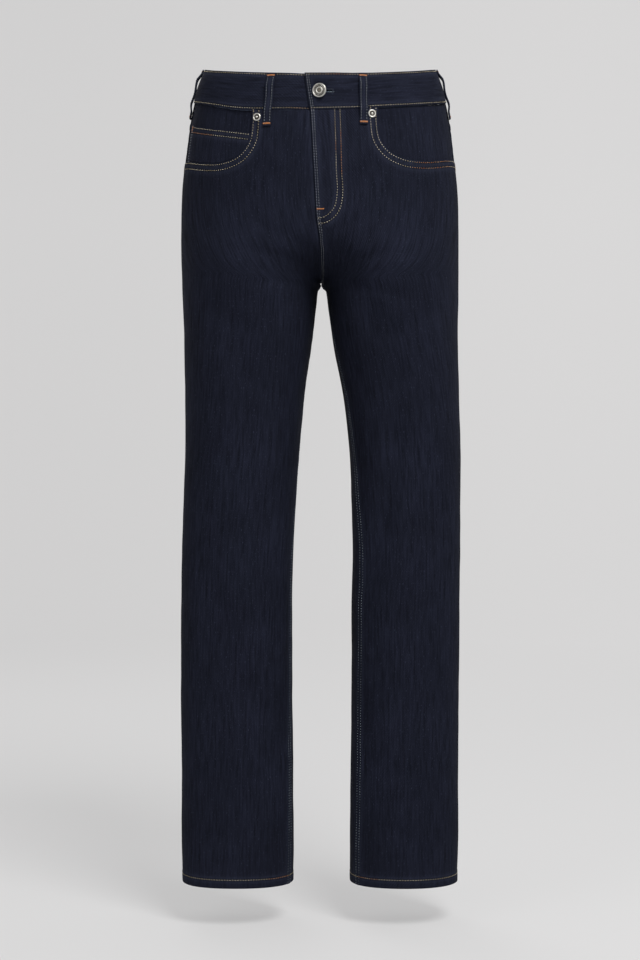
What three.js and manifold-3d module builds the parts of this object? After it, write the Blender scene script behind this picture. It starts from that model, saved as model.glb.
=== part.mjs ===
// Slim fit five-pocket jeans, hollow and filled out as if worn, held up at the waist.
// Millimetres. +Z is up, the front faces -Y and the wearer's left is towards +X.
// The origin is the middle of the waist opening. The wearer's right and left halves are sides -1 and 1.
//
// The garment is one surface that every piece is cut from. At each height the front or back of
// one side is half a rounded loop, from the centre line or inseam round to the side seam.
// Above the crotch the loops of the two sides run into each other at the centre plane, and
// below it they part into two legs.
import * as THREE from "three";
import { mergeVertices } from "three/addons/utils/BufferGeometryUtils.js";
import Module from "manifold-3d";

// Cloth and seams
const CLOTH = 1.4; // one layer of denim
const THIN_CLOTH = 1.2; // pocket facings and patch pockets
const SEAM_GAP = 0.3; // between pieces that meet edge to edge
const CENTRE_SHIFT = 0.2; // each half stands this far off the centre seam
const LAY_GAP = 0.5; // between a piece and the one it lies on

// Heights
const CROTCH_Z = -238;
const HIP_Z = -60; // above this the sides run into each other with no valley between them
const HEM_Z = -951;
const HEM_HEIGHT = 12;
const HEM_PROUD = 0.5; // the folded hem stands out this far
const HEM_THICK = 2.6;

// The waist's upper edge is a tilted curve: low in front, high at the back
const WAIST_SIDE_Z = 20;
const WAIST_TILT = 0.2;
const WAIST_BOW = -0.00063; // per millimetre of depth
const WAISTBAND_HEIGHT = 40;
const WAISTBAND_THICK = 2.6;
const WAISTBAND_PROUD = 0.8;

// Sections of the garment from the waist down. outer and inner are the reach of one side from
// the centre plane, front and back are the depths, seam is the depth of the side seam and inseam,
// square swells the section between its four sides.
const SECTIONS = [
  { z: 45, outer: 129, inner: 0, front: -95, back: 88, seam: -4, square: 0.035 },
  { z: 20, outer: 136.8, inner: 0, front: -98, back: 92, seam: -3, square: 0.035 },
  { z: -18, outer: 149.6, inner: 0, front: -104, back: 100, seam: -2, square: 0.035 },
  { z: -52, outer: 156.6, inner: 0, front: -107, back: 109, seam: 0, square: 0.035 },
  { z: -100, outer: 162.3, inner: 0, front: -109, back: 119, seam: 2, square: 0.035 },
  { z: -148, outer: 166, inner: 0, front: -108, back: 124.5, seam: 4, square: 0.03 },
  { z: -196, outer: 166.4, inner: 0, front: -104, back: 121.5, seam: 6, square: 0.025 },
  { z: CROTCH_Z, outer: 165.8, inner: 0.3, front: -98, back: 114, seam: 8, square: 0.02 },
  { z: -245, outer: 165.6, inner: 5, front: -97, back: 112, seam: 8, square: 0.02 },
  { z: -262, outer: 165.2, inner: 6.6, front: -94, back: 108, seam: 8, square: 0.025 },
  { z: -304, outer: 163.9, inner: 12.3, front: -88, back: 99, seam: 6, square: 0.03 },
  { z: -376, outer: 164.1, inner: 23.7, front: -79, back: 85, seam: 3, square: 0.04 },
  { z: -472, outer: 165.2, inner: 32, front: -69, back: 70, seam: -1, square: 0.045 },
  { z: -568, outer: 166.4, inner: 35.4, front: -63, back: 65, seam: -1, square: 0.045 },
  { z: -700, outer: 166.4, inner: 35.2, front: -57, back: 64, seam: 1, square: 0.045 },
  { z: -832, outer: 165.7, inner: 34.2, front: -54, back: 60, seam: 1, square: 0.045 },
  { z: -904, outer: 165.2, inner: 33.2, front: -52, back: 57, seam: 1, square: 0.045 },
  { z: HEM_Z, outer: 164.2, inner: 34, front: -51, back: 56, seam: 1, square: 0.045 },
];
const RISE_POWER = { front: 4.5, back: 3.3 }; // how squarely the centre seam turns under

// How far each leg's inseam comes round to the front, in degrees: the legs hang slightly turned
const INSEAM_TURN = [
  { z: CROTCH_Z, left: 0, right: 0 },
  { z: -300, left: 10, right: 0 },
  { z: -376, left: 19, right: 0 },
  { z: -472, left: 25, right: 4 },
  { z: -568, left: 32, right: 10 },
  { z: -700, left: 31, right: 14 },
  { z: -832, left: 30, right: 18 },
  { z: HEM_Z, left: 30, right: 22 },
];

const KNEE_SWAY = 3.2; // both knees lean towards the wearer's left
const KNEE_Z = -435;
const SWAY_REACH = 125;
const GAP_SWAY = { most: 1.9, startZ: -200, fullZ: -250 }; // as do the crotch and the legs' inner sides

// Soft troughs in the cloth: from (x0, z0) to (x1, z1) as seen from the front or back, the half
// width of the trough and its depth.
const FOLDS = [
  { face: "front", x0: -97, z0: -296, x1: -60, z1: -515, half: 16, depth: 3 },
  { face: "front", x0: -136, z0: -560, x1: -90, z1: -725, half: 15, depth: 2.4 },
  { face: "front", x0: -48, z0: -786, x1: -112, z1: -892, half: 13, depth: 4 },
  { face: "front", x0: -58, z0: -742, x1: -56, z1: -770, half: 11, depth: 1.8 },
  { face: "front", x0: 18, z0: -205, x1: 66, z1: -300, half: 15, depth: 3 },
  { face: "front", x0: 88, z0: -310, x1: 87, z1: -425, half: 15, depth: 2 },
  { face: "front", x0: 87, z0: -425, x1: 62, z1: -592, half: 13, depth: 3.4 },
  { face: "front", x0: 62, z0: -804, x1: 98, z1: -816, half: 12, depth: 2 },
  { face: "front", x0: 62, z0: -876, x1: 102, z1: -892, half: 12, depth: 1.8 },
  { face: "back", x0: -42, z0: -264, x1: -112, z1: -240, half: 13, depth: 2.6 },
  { face: "back", x0: 42, z0: -262, x1: 116, z1: -244, half: 13, depth: 2.6 },
  { face: "back", x0: -56, z0: -306, x1: -120, z1: -290, half: 13, depth: 2 },
  { face: "back", x0: 60, z0: -300, x1: 112, z1: -282, half: 12, depth: 1.6 },
  { face: "back", x0: -62, z0: -478, x1: -138, z1: -456, half: 13, depth: 3.2 },
  { face: "back", x0: -66, z0: -522, x1: -130, z1: -538, half: 13, depth: 2.6 },
  { face: "back", x0: 60, z0: -466, x1: 134, z1: -484, half: 13, depth: 3 },
  { face: "back", x0: 72, z0: -528, x1: 140, z1: -512, half: 13, depth: 2.4 },
  { face: "back", x0: -118, z0: -720, x1: -70, z1: -850, half: 15, depth: 2.6 },
  { face: "back", x0: 76, z0: -760, x1: 118, z1: -880, half: 15, depth: 2.6 },
];

// Fly, along the wearer's left front: the edge runs over the right front
const FLY_EDGE = { topX: -11, topZ: -46, lowX: -4.5, lowZ: -165, endZ: -203 };
const FLY_COLUMNS = [0, 9, 20, 29]; // distances of the first columns from the fly's edge
const FLY_BOTTOM_Z = -172;
const FLY_PROUD = 1.3;

// Pocket mouths, as seen from the front: the upper front corner, and points round to the side seam
const MOUTHS = {
  [-1]: [[-78, -66], [-82, -86], [-94, -100], [-110, -105.5], [-138, -103], [-160, -94]],
  [1]: [[66, -66], [69, -82], [79, -95], [97, -103], [120, -103.5], [158, -92]],
};
const MOUTH_TOP_Z = 10;
const BEYOND_SIDE = 190;
const FACING_UNDERLAP = 12; // the pocket facing runs this far behind the front
const FACING_BOTTOM_Z = -120;
const FACING_DEPTH = CLOTH + LAY_GAP + 0.2;

const QUARTER_TURN = Math.PI / 2;
const OTHER_FACE = { front: "back", back: "front" };

const wasm = await Module();
wasm.setup();

// ---------------------------------------------------------------- the surface

function smoothstep(from, to, value) {
  const t = Math.min(1, Math.max(0, (value - from) / (to - from)));
  return t * t * (3 - 2 * t);
}

function lerp(a, b, t) {
  return a + (b - a) * t;
}

// A column of a table at any height, along a curve that never overshoots the table.
function tableValue(table, key, z) {
  const slope = (n) => {
    if (n < 0 || n > table.length - 2) return null;
    return (table[n + 1][key] - table[n][key]) / (table[n + 1].z - table[n].z);
  };
  const tangent = (n) => {
    const above = slope(n - 1) ?? slope(n);
    const below = slope(n) ?? slope(n - 1);
    return above * below <= 0 ? 0 : (2 * above * below) / (above + below);
  };
  let n = 0;
  while (n < table.length - 2 && table[n + 1].z > z) n++;
  const step = table[n + 1].z - table[n].z;
  const t = (z - table[n].z) / step;
  const square = t * t;
  const cube = square * t;
  return (
    (2 * cube - 3 * square + 1) * table[n][key] +
    (cube - 2 * square + t) * step * tangent(n) +
    (3 * square - 2 * cube) * table[n + 1][key] +
    (cube - square) * step * tangent(n + 1)
  );
}

function sectionValue(key, z) {
  return tableValue(SECTIONS, key, z);
}

// Angle from the leg's innermost line to its inseam, positive towards the front.
function inseamTurn(side, z) {
  if (z >= CROTCH_Z) return 0;
  return (tableValue(INSEAM_TURN, side > 0 ? "left" : "right", z) * Math.PI) / 180;
}

// The half loop of the front or back of one side at height z. Its angle is -90 degrees at the
// inseam, 0 where it faces forwards and 90 degrees at the side seam. start is the angle at the
// centre seam or inseam.
function halfLoop(face, z) {
  const outer = sectionValue("outer", z);
  const seam = sectionValue("seam", z);
  const square = sectionValue("square", z);
  const depth = Math.abs(sectionValue(face, z) - seam);
  if (z <= CROTCH_Z) {
    const inner = sectionValue("inner", z);
    const halfWidth = (outer - inner) / 2;
    return { start: -QUARTER_TURN, halfWidth, centre: outer - halfWidth, depth, seam, square };
  }
  const above = Math.max(0, (HIP_Z - z) / (HIP_Z - CROTCH_Z));
  const lean = QUARTER_TURN * above ** RISE_POWER[face];
  const reach = Math.sin(lean) * (1 + square * Math.sin(2 * lean) ** 2);
  const halfWidth = outer / (1 + reach);
  return { start: -lean, halfWidth, centre: outer - halfWidth, depth, seam, square };
}

function unfolded(side, face, angle, z) {
  const loop = halfLoop(face, z);
  const swell = 1 + loop.square * Math.sin(2 * angle) ** 2;
  const outward = face === "front" ? -1 : 1;
  const inwards = (1 - Math.sin(angle)) / 2;
  const gapSway = GAP_SWAY.most * smoothstep(GAP_SWAY.startZ, GAP_SWAY.fullZ, z) * inwards;
  const sway = KNEE_SWAY * Math.exp(-(((z - KNEE_Z) / SWAY_REACH) ** 2)) + gapSway;
  return new THREE.Vector3(
    side * (loop.centre + loop.halfWidth * Math.sin(angle) * swell) + sway,
    loop.seam + outward * loop.depth * Math.cos(angle) * swell,
    z,
  );
}

function outwardNormal(side, face, angle, z) {
  const angleStep = 0.01;
  const zStep = 1;
  const across = unfolded(side, face, angle + angleStep, z).sub(unfolded(side, face, angle - angleStep, z));
  const up = unfolded(side, face, angle, z + zStep).sub(unfolded(side, face, angle, z - zStep));
  const normal = across.cross(up).normalize();
  const turned = (face === "front" ? 1 : -1) * side;
  return normal.multiplyScalar(turned);
}

// How far the cloth is drawn in by the troughs at a point. They fade towards the seams, where the
// front and the back meet.
function foldDepth(face, angle, point) {
  let depth = 0;
  for (const fold of FOLDS) {
    if (fold.face !== face) continue;
    const alongX = fold.x1 - fold.x0;
    const alongZ = fold.z1 - fold.z0;
    const along = ((point.x - fold.x0) * alongX + (point.z - fold.z0) * alongZ) / (alongX ** 2 + alongZ ** 2);
    const t = Math.min(1, Math.max(0, along));
    const away = Math.hypot(point.x - fold.x0 - t * alongX, point.z - fold.z0 - t * alongZ);
    depth += fold.depth * Math.exp(-((away / fold.half) ** 2));
  }
  return depth * Math.sqrt(Math.max(0, Math.cos(angle)));
}

// A point of the garment, moved out from its surface by offset. Angles before -90 degrees have gone
// round the inside of the leg to the other face.
function surface(side, face, angle, z, offset = 0) {
  if (angle < -QUARTER_TURN) return surface(side, OTHER_FACE[face], -Math.PI - angle, z, offset);
  const point = unfolded(side, face, angle, z);
  const normal = outwardNormal(side, face, angle, z);
  return point.addScaledVector(normal, offset - foldDepth(face, angle, point));
}

// The front or back named by its angle from the centre line: positive on the wearer's left.
function onFace(face, fromCentre, z, offset = 0) {
  const side = fromCentre < 0 ? -1 : 1;
  return surface(side, face, Math.abs(fromCentre) + halfLoop(face, z).start, z, offset);
}

// The angle from the centre line at which the front or back is x millimetres from the centre plane.
function angleToX(face, x, z) {
  const start = halfLoop(face, z).start;
  let low = start;
  let high = QUARTER_TURN;
  for (let n = 0; n < 40; n++) {
    const middle = (low + high) / 2;
    if (unfolded(1, face, middle, z).x < Math.abs(x)) low = middle;
    else high = middle;
  }
  return Math.sign(x) * ((low + high) / 2 - start);
}

// The angle from the centre line to the side seam.
function toSideSeam(face, z) {
  return QUARTER_TURN - halfLoop(face, z).start;
}

// The angle that a small distance takes at the side seam or inseam.
function angleFor(distance, face, z) {
  return distance / halfLoop(face, z).depth;
}

// A place round the waist: 0 is centre front, 1 the side seam and 2 centre back, negative on the
// wearer's right.
function roundWaist(place, z, offset = 0) {
  const side = place < 0 ? -1 : 1;
  const share = Math.abs(place);
  if (share < 1) return surface(side, "front", share * QUARTER_TURN, z, offset);
  return surface(side, "back", (2 - share) * QUARTER_TURN, z, offset);
}

// Distance along the surface for each unit of place round the waist.
function lengthOfPlace(place, z) {
  const step = 0.02;
  return roundWaist(place - step, z).distanceTo(roundWaist(place, z)) / step;
}

function waistTop(place) {
  const share = Math.abs(place);
  const y = share < 1
    ? unfolded(1, "front", share * QUARTER_TURN, 0).y
    : unfolded(1, "back", (2 - share) * QUARTER_TURN, 0).y;
  return WAIST_SIDE_Z + WAIST_TILT * y + WAIST_BOW * y * y;
}

// The waistband's lower edge sags a little in front, most on the wearer's right.
const WAIST_SAGS = [
  { place: 0, deep: 2.8, reach: 0.24 },
  { place: -0.36, deep: 4, reach: 0.19 },
];

function waistSeam(place) {
  const sags = WAIST_SAGS.map((sag) => sag.deep * Math.exp(-(((place - sag.place) / sag.reach) ** 2)));
  return waistTop(place) - WAISTBAND_HEIGHT - sags[0] - sags[1];
}

// ---------------------------------------------------------------- making solids

// Turns a geometry whose faces point inwards the right way round.
function facingOut(geometry) {
  const merged = mergeVertices(geometry.deleteAttribute("normal").deleteAttribute("uv"), 1e-4);
  const position = merged.getAttribute("position");
  const index = merged.index;
  const corner = (n) => new THREE.Vector3().fromBufferAttribute(position, index.getX(n));
  let volume = 0;
  for (let n = 0; n < index.count; n += 3) {
    volume += corner(n).dot(corner(n + 1).cross(corner(n + 2)));
  }
  if (volume > 0) return merged;
  for (let n = 0; n < index.count; n += 3) {
    const kept = index.getX(n);
    index.setX(n, index.getX(n + 1));
    index.setX(n + 1, kept);
  }
  return merged;
}

// A wall of cloth: place(column, row, outside) gives each point of its outside and inside.
function wall(columns, rows, place) {
  const geometry = new THREE.BoxGeometry(1, 1, 1, columns, rows, 1);
  const position = geometry.getAttribute("position");
  for (let n = 0; n < position.count; n++) {
    const column = Math.round((position.getX(n) + 0.5) * columns);
    const row = Math.round((position.getY(n) + 0.5) * rows);
    const point = place(column, row, position.getZ(n) > 0);
    position.setXYZ(n, point.x, point.y, point.z);
  }
  return facingOut(geometry);
}

function solidOf(geometry) {
  return new wasm.Manifold(
    new wasm.Mesh({
      numProp: 3,
      vertProperties: geometry.getAttribute("position").array,
      triVerts: new Uint32Array(geometry.index.array),
    }),
  );
}

function geometryOf(solid) {
  const mesh = solid.getMesh();
  const geometry = new THREE.BufferGeometry();
  geometry.setAttribute("position", new THREE.BufferAttribute(mesh.vertProperties, 3));
  return geometry.setIndex(new THREE.BufferAttribute(mesh.triVerts, 1));
}

// ---------------------------------------------------------------- fronts and backs

function flyEdgeX(z) {
  if (z > FLY_EDGE.lowZ) {
    const t = (FLY_EDGE.topZ - z) / (FLY_EDGE.topZ - FLY_EDGE.lowZ);
    return lerp(FLY_EDGE.topX, FLY_EDGE.lowX, t);
  }
  return FLY_EDGE.lowX * (1 - smoothstep(FLY_EDGE.lowZ, FLY_EDGE.endZ, z));
}

// Heights of a panel's rows from the hem to just below the top, where the rows follow its upper edge
const LEG_LEVELS = [
  HEM_Z, HEM_Z + HEM_HEIGHT, HEM_Z + HEM_HEIGHT + 1.5, -908, -880, -850, -820, -788, -755, -715, -670,
  -620, -570, -530, -492, -455, -415, -375, -338, -306, -280, -260, -249, -243, -240, CROTCH_Z, -235.5,
  -231, -224, -215, -203, -188, -172, -150, -126,
];
const TOP_ROWS = 4;

// z of a panel's row, from the levels and then in equal steps up to its top.
function levelZ(row, top) {
  if (row < LEG_LEVELS.length) return LEG_LEVELS[row];
  const highest = LEG_LEVELS[LEG_LEVELS.length - 1];
  return lerp(highest, top, (row - LEG_LEVELS.length + 1) / TOP_ROWS);
}

// Offset of the outside or inside of a front or back, which is double and stands proud at the hem.
function panelOffset(z, outside) {
  const hem = z < HEM_Z + HEM_HEIGHT + 0.1;
  if (outside) return hem ? HEM_PROUD : 0;
  return hem ? HEM_PROUD - HEM_THICK : -CLOTH;
}

const PANEL_COLUMNS = 12;
const PANEL_ROWS = LEG_LEVELS.length - 1 + TOP_ROWS;

// Angle from the centre line of a front's column. Near the top the first columns keep set distances
// from the fly's edge, and lower down all are spread evenly from the inseam to the side seam.
function frontColumn(side, column, z) {
  const crotchShare = -halfLoop("front", z).start / QUARTER_TURN;
  const first = inseamTurn(side, z) + crotchShare * angleFor(SEAM_GAP / 2, "front", z);
  const last = toSideSeam("front", z) - angleFor(SEAM_GAP / 2, "front", z);
  const even = lerp(first, last, column / PANEL_COLUMNS);
  if (z <= CROTCH_Z) return side * even;
  const edge = flyEdgeX(z);
  const lastSet = FLY_COLUMNS.length - 1;
  const setAt = (n) => side * angleToX("front", edge + side * FLY_COLUMNS[n], z);
  const spread = (column - lastSet) / (PANEL_COLUMNS - lastSet);
  const set = column <= lastSet ? setAt(column) : lerp(setAt(lastSet), last, spread);
  return side * lerp(set, even, smoothstep(FLY_BOTTOM_Z, CROTCH_Z + 8, z));
}

// The wearer's left front stands proud between the fly's edge and its curved lower end.
function flyOffset(column, z) {
  if (column > 2 || z < FLY_BOTTOM_Z) return 0;
  const low = z < FLY_BOTTOM_Z + 10;
  return low && column > 1 ? 0 : FLY_PROUD;
}

function frontPanel(side) {
  const geometry = wall(PANEL_COLUMNS, PANEL_ROWS, (column, row, outside) => {
    const place = frontColumn(side, column, FLY_EDGE.topZ) / QUARTER_TURN;
    const z = levelZ(row, waistSeam(Math.max(-1, Math.min(1, place))) - SEAM_GAP);
    const fly = side > 0 && outside ? flyOffset(column, z) : 0;
    const point = onFace("front", frontColumn(side, column, z), z, panelOffset(z, outside) + fly);
    point.x += side * CENTRE_SHIFT;
    return point;
  });
  return geometryOf(solidOf(geometry).subtract(mouthPrism(side, 0)));
}

const YOKE = { sideZ: -53, centreZ: -74 };

// Height of the seam under the yoke, straight from the side down to the centre back.
function yokeSeam(angle) {
  return lerp(YOKE.centreZ, YOKE.sideZ, Math.sin(angle));
}

function backPanel(side) {
  return wall(PANEL_COLUMNS, PANEL_ROWS, (column, row, outside) => {
    const share = column / PANEL_COLUMNS;
    const z = levelZ(row, yokeSeam(share * QUARTER_TURN) - SEAM_GAP);
    const crotchShare = -halfLoop("back", z).start / QUARTER_TURN;
    const gap = angleFor(SEAM_GAP / 2, "back", z);
    const angle = lerp(crotchShare * gap - inseamTurn(side, z), toSideSeam("back", z) - gap, share);
    const point = surface(side, "back", angle + halfLoop("back", z).start, z, panelOffset(z, outside));
    point.x += side * CENTRE_SHIFT;
    return point;
  });
}

function yoke(side) {
  const columns = 10;
  const rows = 3;
  return wall(columns, rows, (column, row, outside) => {
    const angle = (column / columns) * QUARTER_TURN;
    const top = waistSeam(2 - column / columns) - SEAM_GAP;
    const z = lerp(yokeSeam(angle), top, row / rows);
    const inward = Math.min(angle, QUARTER_TURN - angleFor(SEAM_GAP / 2, "back", z));
    const point = onFace("back", side * inward, z, outside ? 0 : -CLOTH);
    point.x += side * CENTRE_SHIFT;
    return point;
  });
}

// ---------------------------------------------------------------- pockets

// Everything above and outside a pocket mouth, from behind the side seam to well in front.
function mouthPrism(side, inset) {
  const points = MOUTHS[side];
  const shape = new THREE.Shape();
  shape.moveTo(points[0][0], MOUTH_TOP_Z);
  shape.lineTo(points[0][0], points[0][1]);
  shape.splineThru(points.slice(1).map(([x, z]) => new THREE.Vector2(x, z)));
  shape.lineTo(side * BEYOND_SIDE, points[points.length - 1][1]);
  shape.lineTo(side * BEYOND_SIDE, MOUTH_TOP_Z);
  const depth = 220;
  const geometry = new THREE.ExtrudeGeometry(shape, { depth, bevelEnabled: false, curveSegments: 14 });
  geometry.rotateX(QUARTER_TURN).translate(side * inset, 20, inset);
  return solidOf(facingOut(geometry));
}

// A point of the facing behind a pocket mouth, by its share of the way from the facing's front edge
// to the side seam.
function onFacing(side, share, z, offset) {
  const innerX = Math.abs(MOUTHS[side][0][0]) - FACING_UNDERLAP;
  const first = angleToX("front", innerX, z);
  const last = toSideSeam("front", z) - angleFor(SEAM_GAP / 2, "front", z);
  return onFace("front", side * lerp(first, last, share), z, offset);
}

const FACING_COLUMNS = 8;

function pocketFacing(side) {
  const rows = 6;
  return wall(FACING_COLUMNS, rows, (column, row, outside) => {
    const share = column / FACING_COLUMNS;
    const first = placeOfX(Math.abs(MOUTHS[side][0][0]) - FACING_UNDERLAP, FLY_EDGE.topZ);
    const top = waistSeam(side * lerp(first, 1, share)) - SEAM_GAP;
    const z = lerp(FACING_BOTTOM_Z, top, row / rows);
    return onFacing(side, share, z, outside ? -FACING_DEPTH : -FACING_DEPTH - THIN_CLOTH);
  });
}

// The small pocket on the wearer's right facing, short of the side seam, on the facing's own columns
const COIN_POCKET = { sideZ: -45, mouthZ: -77, bottomZ: -114, firstColumn: 0, lastColumn: 6 };

function coinPocket() {
  const { sideZ, mouthZ, bottomZ, firstColumn, lastColumn } = COIN_POCKET;
  const rows = 5;
  const base = -FACING_DEPTH + LAY_GAP;
  const geometry = wall(lastColumn - firstColumn, rows, (column, row, outside) => {
    const share = (column + firstColumn) / FACING_COLUMNS;
    const z = lerp(bottomZ, lerp(mouthZ, sideZ, share), row / rows);
    return onFacing(-1, share, z, outside ? base + THIN_CLOTH : base);
  });
  return geometryOf(solidOf(geometry).intersect(mouthPrism(-1, 0.4)));
}

// A patch pocket on the back, as seen from behind: its corners and the point in the middle below
const PATCH = { innerX: 25, outerX: 133, lowInnerX: 34, lowOuterX: 122, topZ: -97, cornerZ: -209, pointZ: -227 };
const PATCH_GAP = 0.7; // from the back, which is faceted more coarsely

function backPocket(side) {
  const columns = 8;
  const rows = 7;
  return wall(columns, rows, (column, row, outside) => {
    const share = column / columns;
    const low = lerp(PATCH.cornerZ, PATCH.pointZ, 1 - Math.abs(2 * share - 1));
    const top = PATCH.topZ + 6 * share;
    const z = lerp(low, top, row / rows);
    const down = 1 - row / rows;
    const x = lerp(
      lerp(PATCH.innerX, PATCH.lowInnerX, down),
      lerp(PATCH.outerX, PATCH.lowOuterX, down),
      share,
    );
    const offset = PATCH_GAP + (outside ? THIN_CLOTH : 0);
    return onFace("back", side * angleToX("back", x, z), z, offset);
  });
}

// ---------------------------------------------------------------- waistband, loops and closure

const OVERLAP = { topX: -18, lowX: -11, underX: 17, lift: 1.4, dip: 1.8 };
const BAND_COLUMNS = { front: 13, back: 20, rows: 3 };

// Place round the waist of a point in front, x millimetres from the centre plane.
function placeOfX(x, z) {
  return angleToX("front", x, z) / QUARTER_TURN;
}

// Near the button the wearer's left end is lifted over the right one, which dips under it.
function waistbandOffset(leftEnd, x) {
  if (leftEnd) return OVERLAP.lift * (1 - smoothstep(16, 40, x));
  return -OVERLAP.dip * smoothstep(-38, -14, x);
}

// One strip from its left end round the left side, the back and the right side to its right end.
// Places past the centre back count on from 2, so that the right side is at 3.
function waistband() {
  const { front, back, rows } = BAND_COLUMNS;
  return wall(front + back + front, rows, (column, row, outside) => {
    const t = row / rows;
    const leftEnd = placeOfX(lerp(OVERLAP.lowX, OVERLAP.topX, t), -20);
    const rightEnd = 4 + placeOfX(OVERLAP.underX, -20);
    let along = lerp(1, 3, (column - front) / back);
    if (column < front) along = lerp(leftEnd, 1, column / front);
    if (column > front + back) along = lerp(3, rightEnd, (column - front - back) / front);
    const place = along > 2 ? along - 4 : along;
    const z = lerp(waistSeam(place), waistTop(place), t);
    const frontX = Math.abs(place) < 1 ? roundWaist(place, z).x : BEYOND_SIDE * Math.sign(place);
    const lift = waistbandOffset(along < 2, frontX);
    return roundWaist(place, z, WAISTBAND_PROUD + lift - (outside ? 0 : WAISTBAND_THICK));
  });
}

// Distance of a loop's underside from the garment's surface, from its bottom tack (0) to its top (1)
const LOOP = { width: 9.6, thick: 1.6, below: 19, under: 1.5, steps: 14 };
const LOOP_RISE = [
  { t: 0, off: 0.5 },
  { t: 0.12, off: 0.7 },
  { t: 0.3, off: 2.8 },
  { t: 0.5, off: 1.8 },
  { t: 0.76, off: 4.3 },
  { t: 0.95, off: 1.5 },
  { t: 1, off: 1.3 },
];
// Middle of each loop at its top and bottom: x for the front ones, else its place round the waist
const LOOPS = {
  loop_front_right: { topX: -55.3, lowX: -60.7 },
  loop_front_left: { topX: 48.9, lowX: 50 },
  loop_side_right: { place: -0.985 },
  loop_side_left: { place: 0.985 },
  loop_back: { place: 2 },
};

function loopRise(t) {
  const n = Math.max(1, LOOP_RISE.findIndex((row) => row.t >= t));
  const [low, high] = [LOOP_RISE[n - 1], LOOP_RISE[n]];
  return lerp(low.off, high.off, smoothstep(low.t, high.t, t));
}

function beltLoop({ topX, lowX, place }) {
  const columns = 2;
  return wall(columns, LOOP.steps, (column, row, outside) => {
    const t = row / LOOP.steps;
    const near = place ?? placeOfX(lerp(lowX, topX, t), -20);
    const z = lerp(waistSeam(near) - LOOP.below, waistTop(near) - LOOP.under, t);
    const middle = place ?? placeOfX(lerp(lowX, topX, t), z);
    const across = ((column - 1) * LOOP.width) / 2 / lengthOfPlace(middle, z);
    const wraps = middle + across > 2 ? middle + across - 4 : middle + across;
    return roundWaist(wraps, z, loopRise(t) + (outside ? LOOP.thick : 0));
  });
}

// The zip behind the fly: a tape with the closed chain down its middle and the slider at the top
const ZIP = { halfWidth: 13, bottomZ: -162, chainHalf: 2.8, sliderHalf: 4.5, tape: 1.1 };

function flyZip() {
  const reaches = [-ZIP.halfWidth, -ZIP.sliderHalf, -ZIP.chainHalf, ZIP.chainHalf, ZIP.sliderHalf, ZIP.halfWidth];
  const rows = 8;
  return wall(reaches.length - 1, rows, (column, row, outside) => {
    const z = lerp(ZIP.bottomZ, FLY_EDGE.topZ - 6, row / rows);
    const offset = -CLOTH - LAY_GAP;
    const chain = Math.abs(reaches[column]) <= ZIP.chainHalf ? 1.2 : 0;
    const slider = row >= rows - 1 && chain > 0 ? 1.8 : 0;
    const x = flyEdgeX(z) + 12 + reaches[column];
    return onFace("front", angleToX("front", x, z), z, outside ? offset : offset - ZIP.tape - chain - slider);
  });
}

// Radius and height of the button's outline, from the foot of its shank to the hollow of its cap.
// The cap has swung on its shank a little, towards the wearer's right.
const BUTTON = { x: -0.4, z: -28.3, swingDegrees: 15, pivot: 5 };
const BUTTON_OUTLINE = [
  [0, 0], [2, 0], [2, 5.4], [7.5, 5.6], [8.2, 6.3], [8, 7.3], [7, 8], [4.4, 8], [3.6, 7.6], [3, 6.8], [0, 6.7],
];
const BUTTONHOLE = { eyeRadius: 2.9, slitLong: 13, slitHigh: 1.4, slitMiddle: 7.5, cutDeep: 4.6 };
const RIVET_OUTLINE = [[0, 0], [4.6, 0], [4.7, 0.5], [4.1, 1.3], [2.6, 1.4], [1.9, 0.9], [1.5, 1.8], [0, 2.1]];
const RIVETS = {
  rivet_right: { side: -1, x: -72, z: -56.5 },
  rivet_left: { side: 1, x: 59.5, z: -53 },
};

function turned(outline, segments) {
  return facingOut(new THREE.LatheGeometry(outline.map(([r, h]) => new THREE.Vector2(r, h)), segments));
}

function shankButton() {
  const geometry = turned(BUTTON_OUTLINE, 24);
  const position = geometry.getAttribute("position");
  const pivot = new THREE.Vector3(0, BUTTON.pivot, 0);
  const axis = new THREE.Vector3(0, 0, 1);
  for (let n = 0; n < position.count; n++) {
    const point = new THREE.Vector3().fromBufferAttribute(position, n);
    if (point.y < BUTTON.pivot) continue;
    point.sub(pivot).applyAxisAngle(axis, -THREE.MathUtils.degToRad(BUTTON.swingDegrees)).add(pivot);
    position.setXYZ(n, point.x, point.y, point.z);
  }
  return geometry;
}

// The buttonhole in the wearer's left end of the waistband: a round eye and a slit.
function withButtonhole(geometry) {
  const { eyeRadius, slitLong, slitHigh, slitMiddle, cutDeep } = BUTTONHOLE;
  const eye = new THREE.CylinderGeometry(eyeRadius, eyeRadius, cutDeep, 16);
  const slit = new THREE.BoxGeometry(slitLong, cutDeep, slitHigh);
  const middle = roundWaist(placeOfX(BUTTON.x, BUTTON.z), BUTTON.z, WAISTBAND_PROUD + OVERLAP.lift - 1.1);
  eye.translate(middle.x, middle.y, middle.z);
  slit.translate(middle.x + slitMiddle, middle.y, middle.z);
  return geometryOf(solidOf(geometry).subtract(solidOf(facingOut(eye))).subtract(solidOf(facingOut(slit))));
}

// ---------------------------------------------------------------- the garment

const DENIM = new THREE.MeshStandardMaterial({ color: 0x1e2230, roughness: 0.9, metalness: 0 });
const TAPE = new THREE.MeshStandardMaterial({ color: 0x1a1c24, roughness: 0.8, metalness: 0 });
const NICKEL = new THREE.MeshStandardMaterial({ color: 0xb9b6ae, roughness: 0.35, metalness: 1 });

const jeans = new THREE.Group();

function add(name, geometry, material) {
  const mesh = new THREE.Mesh(geometry, material);
  mesh.name = name;
  jeans.add(mesh);
  return mesh;
}

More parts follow.
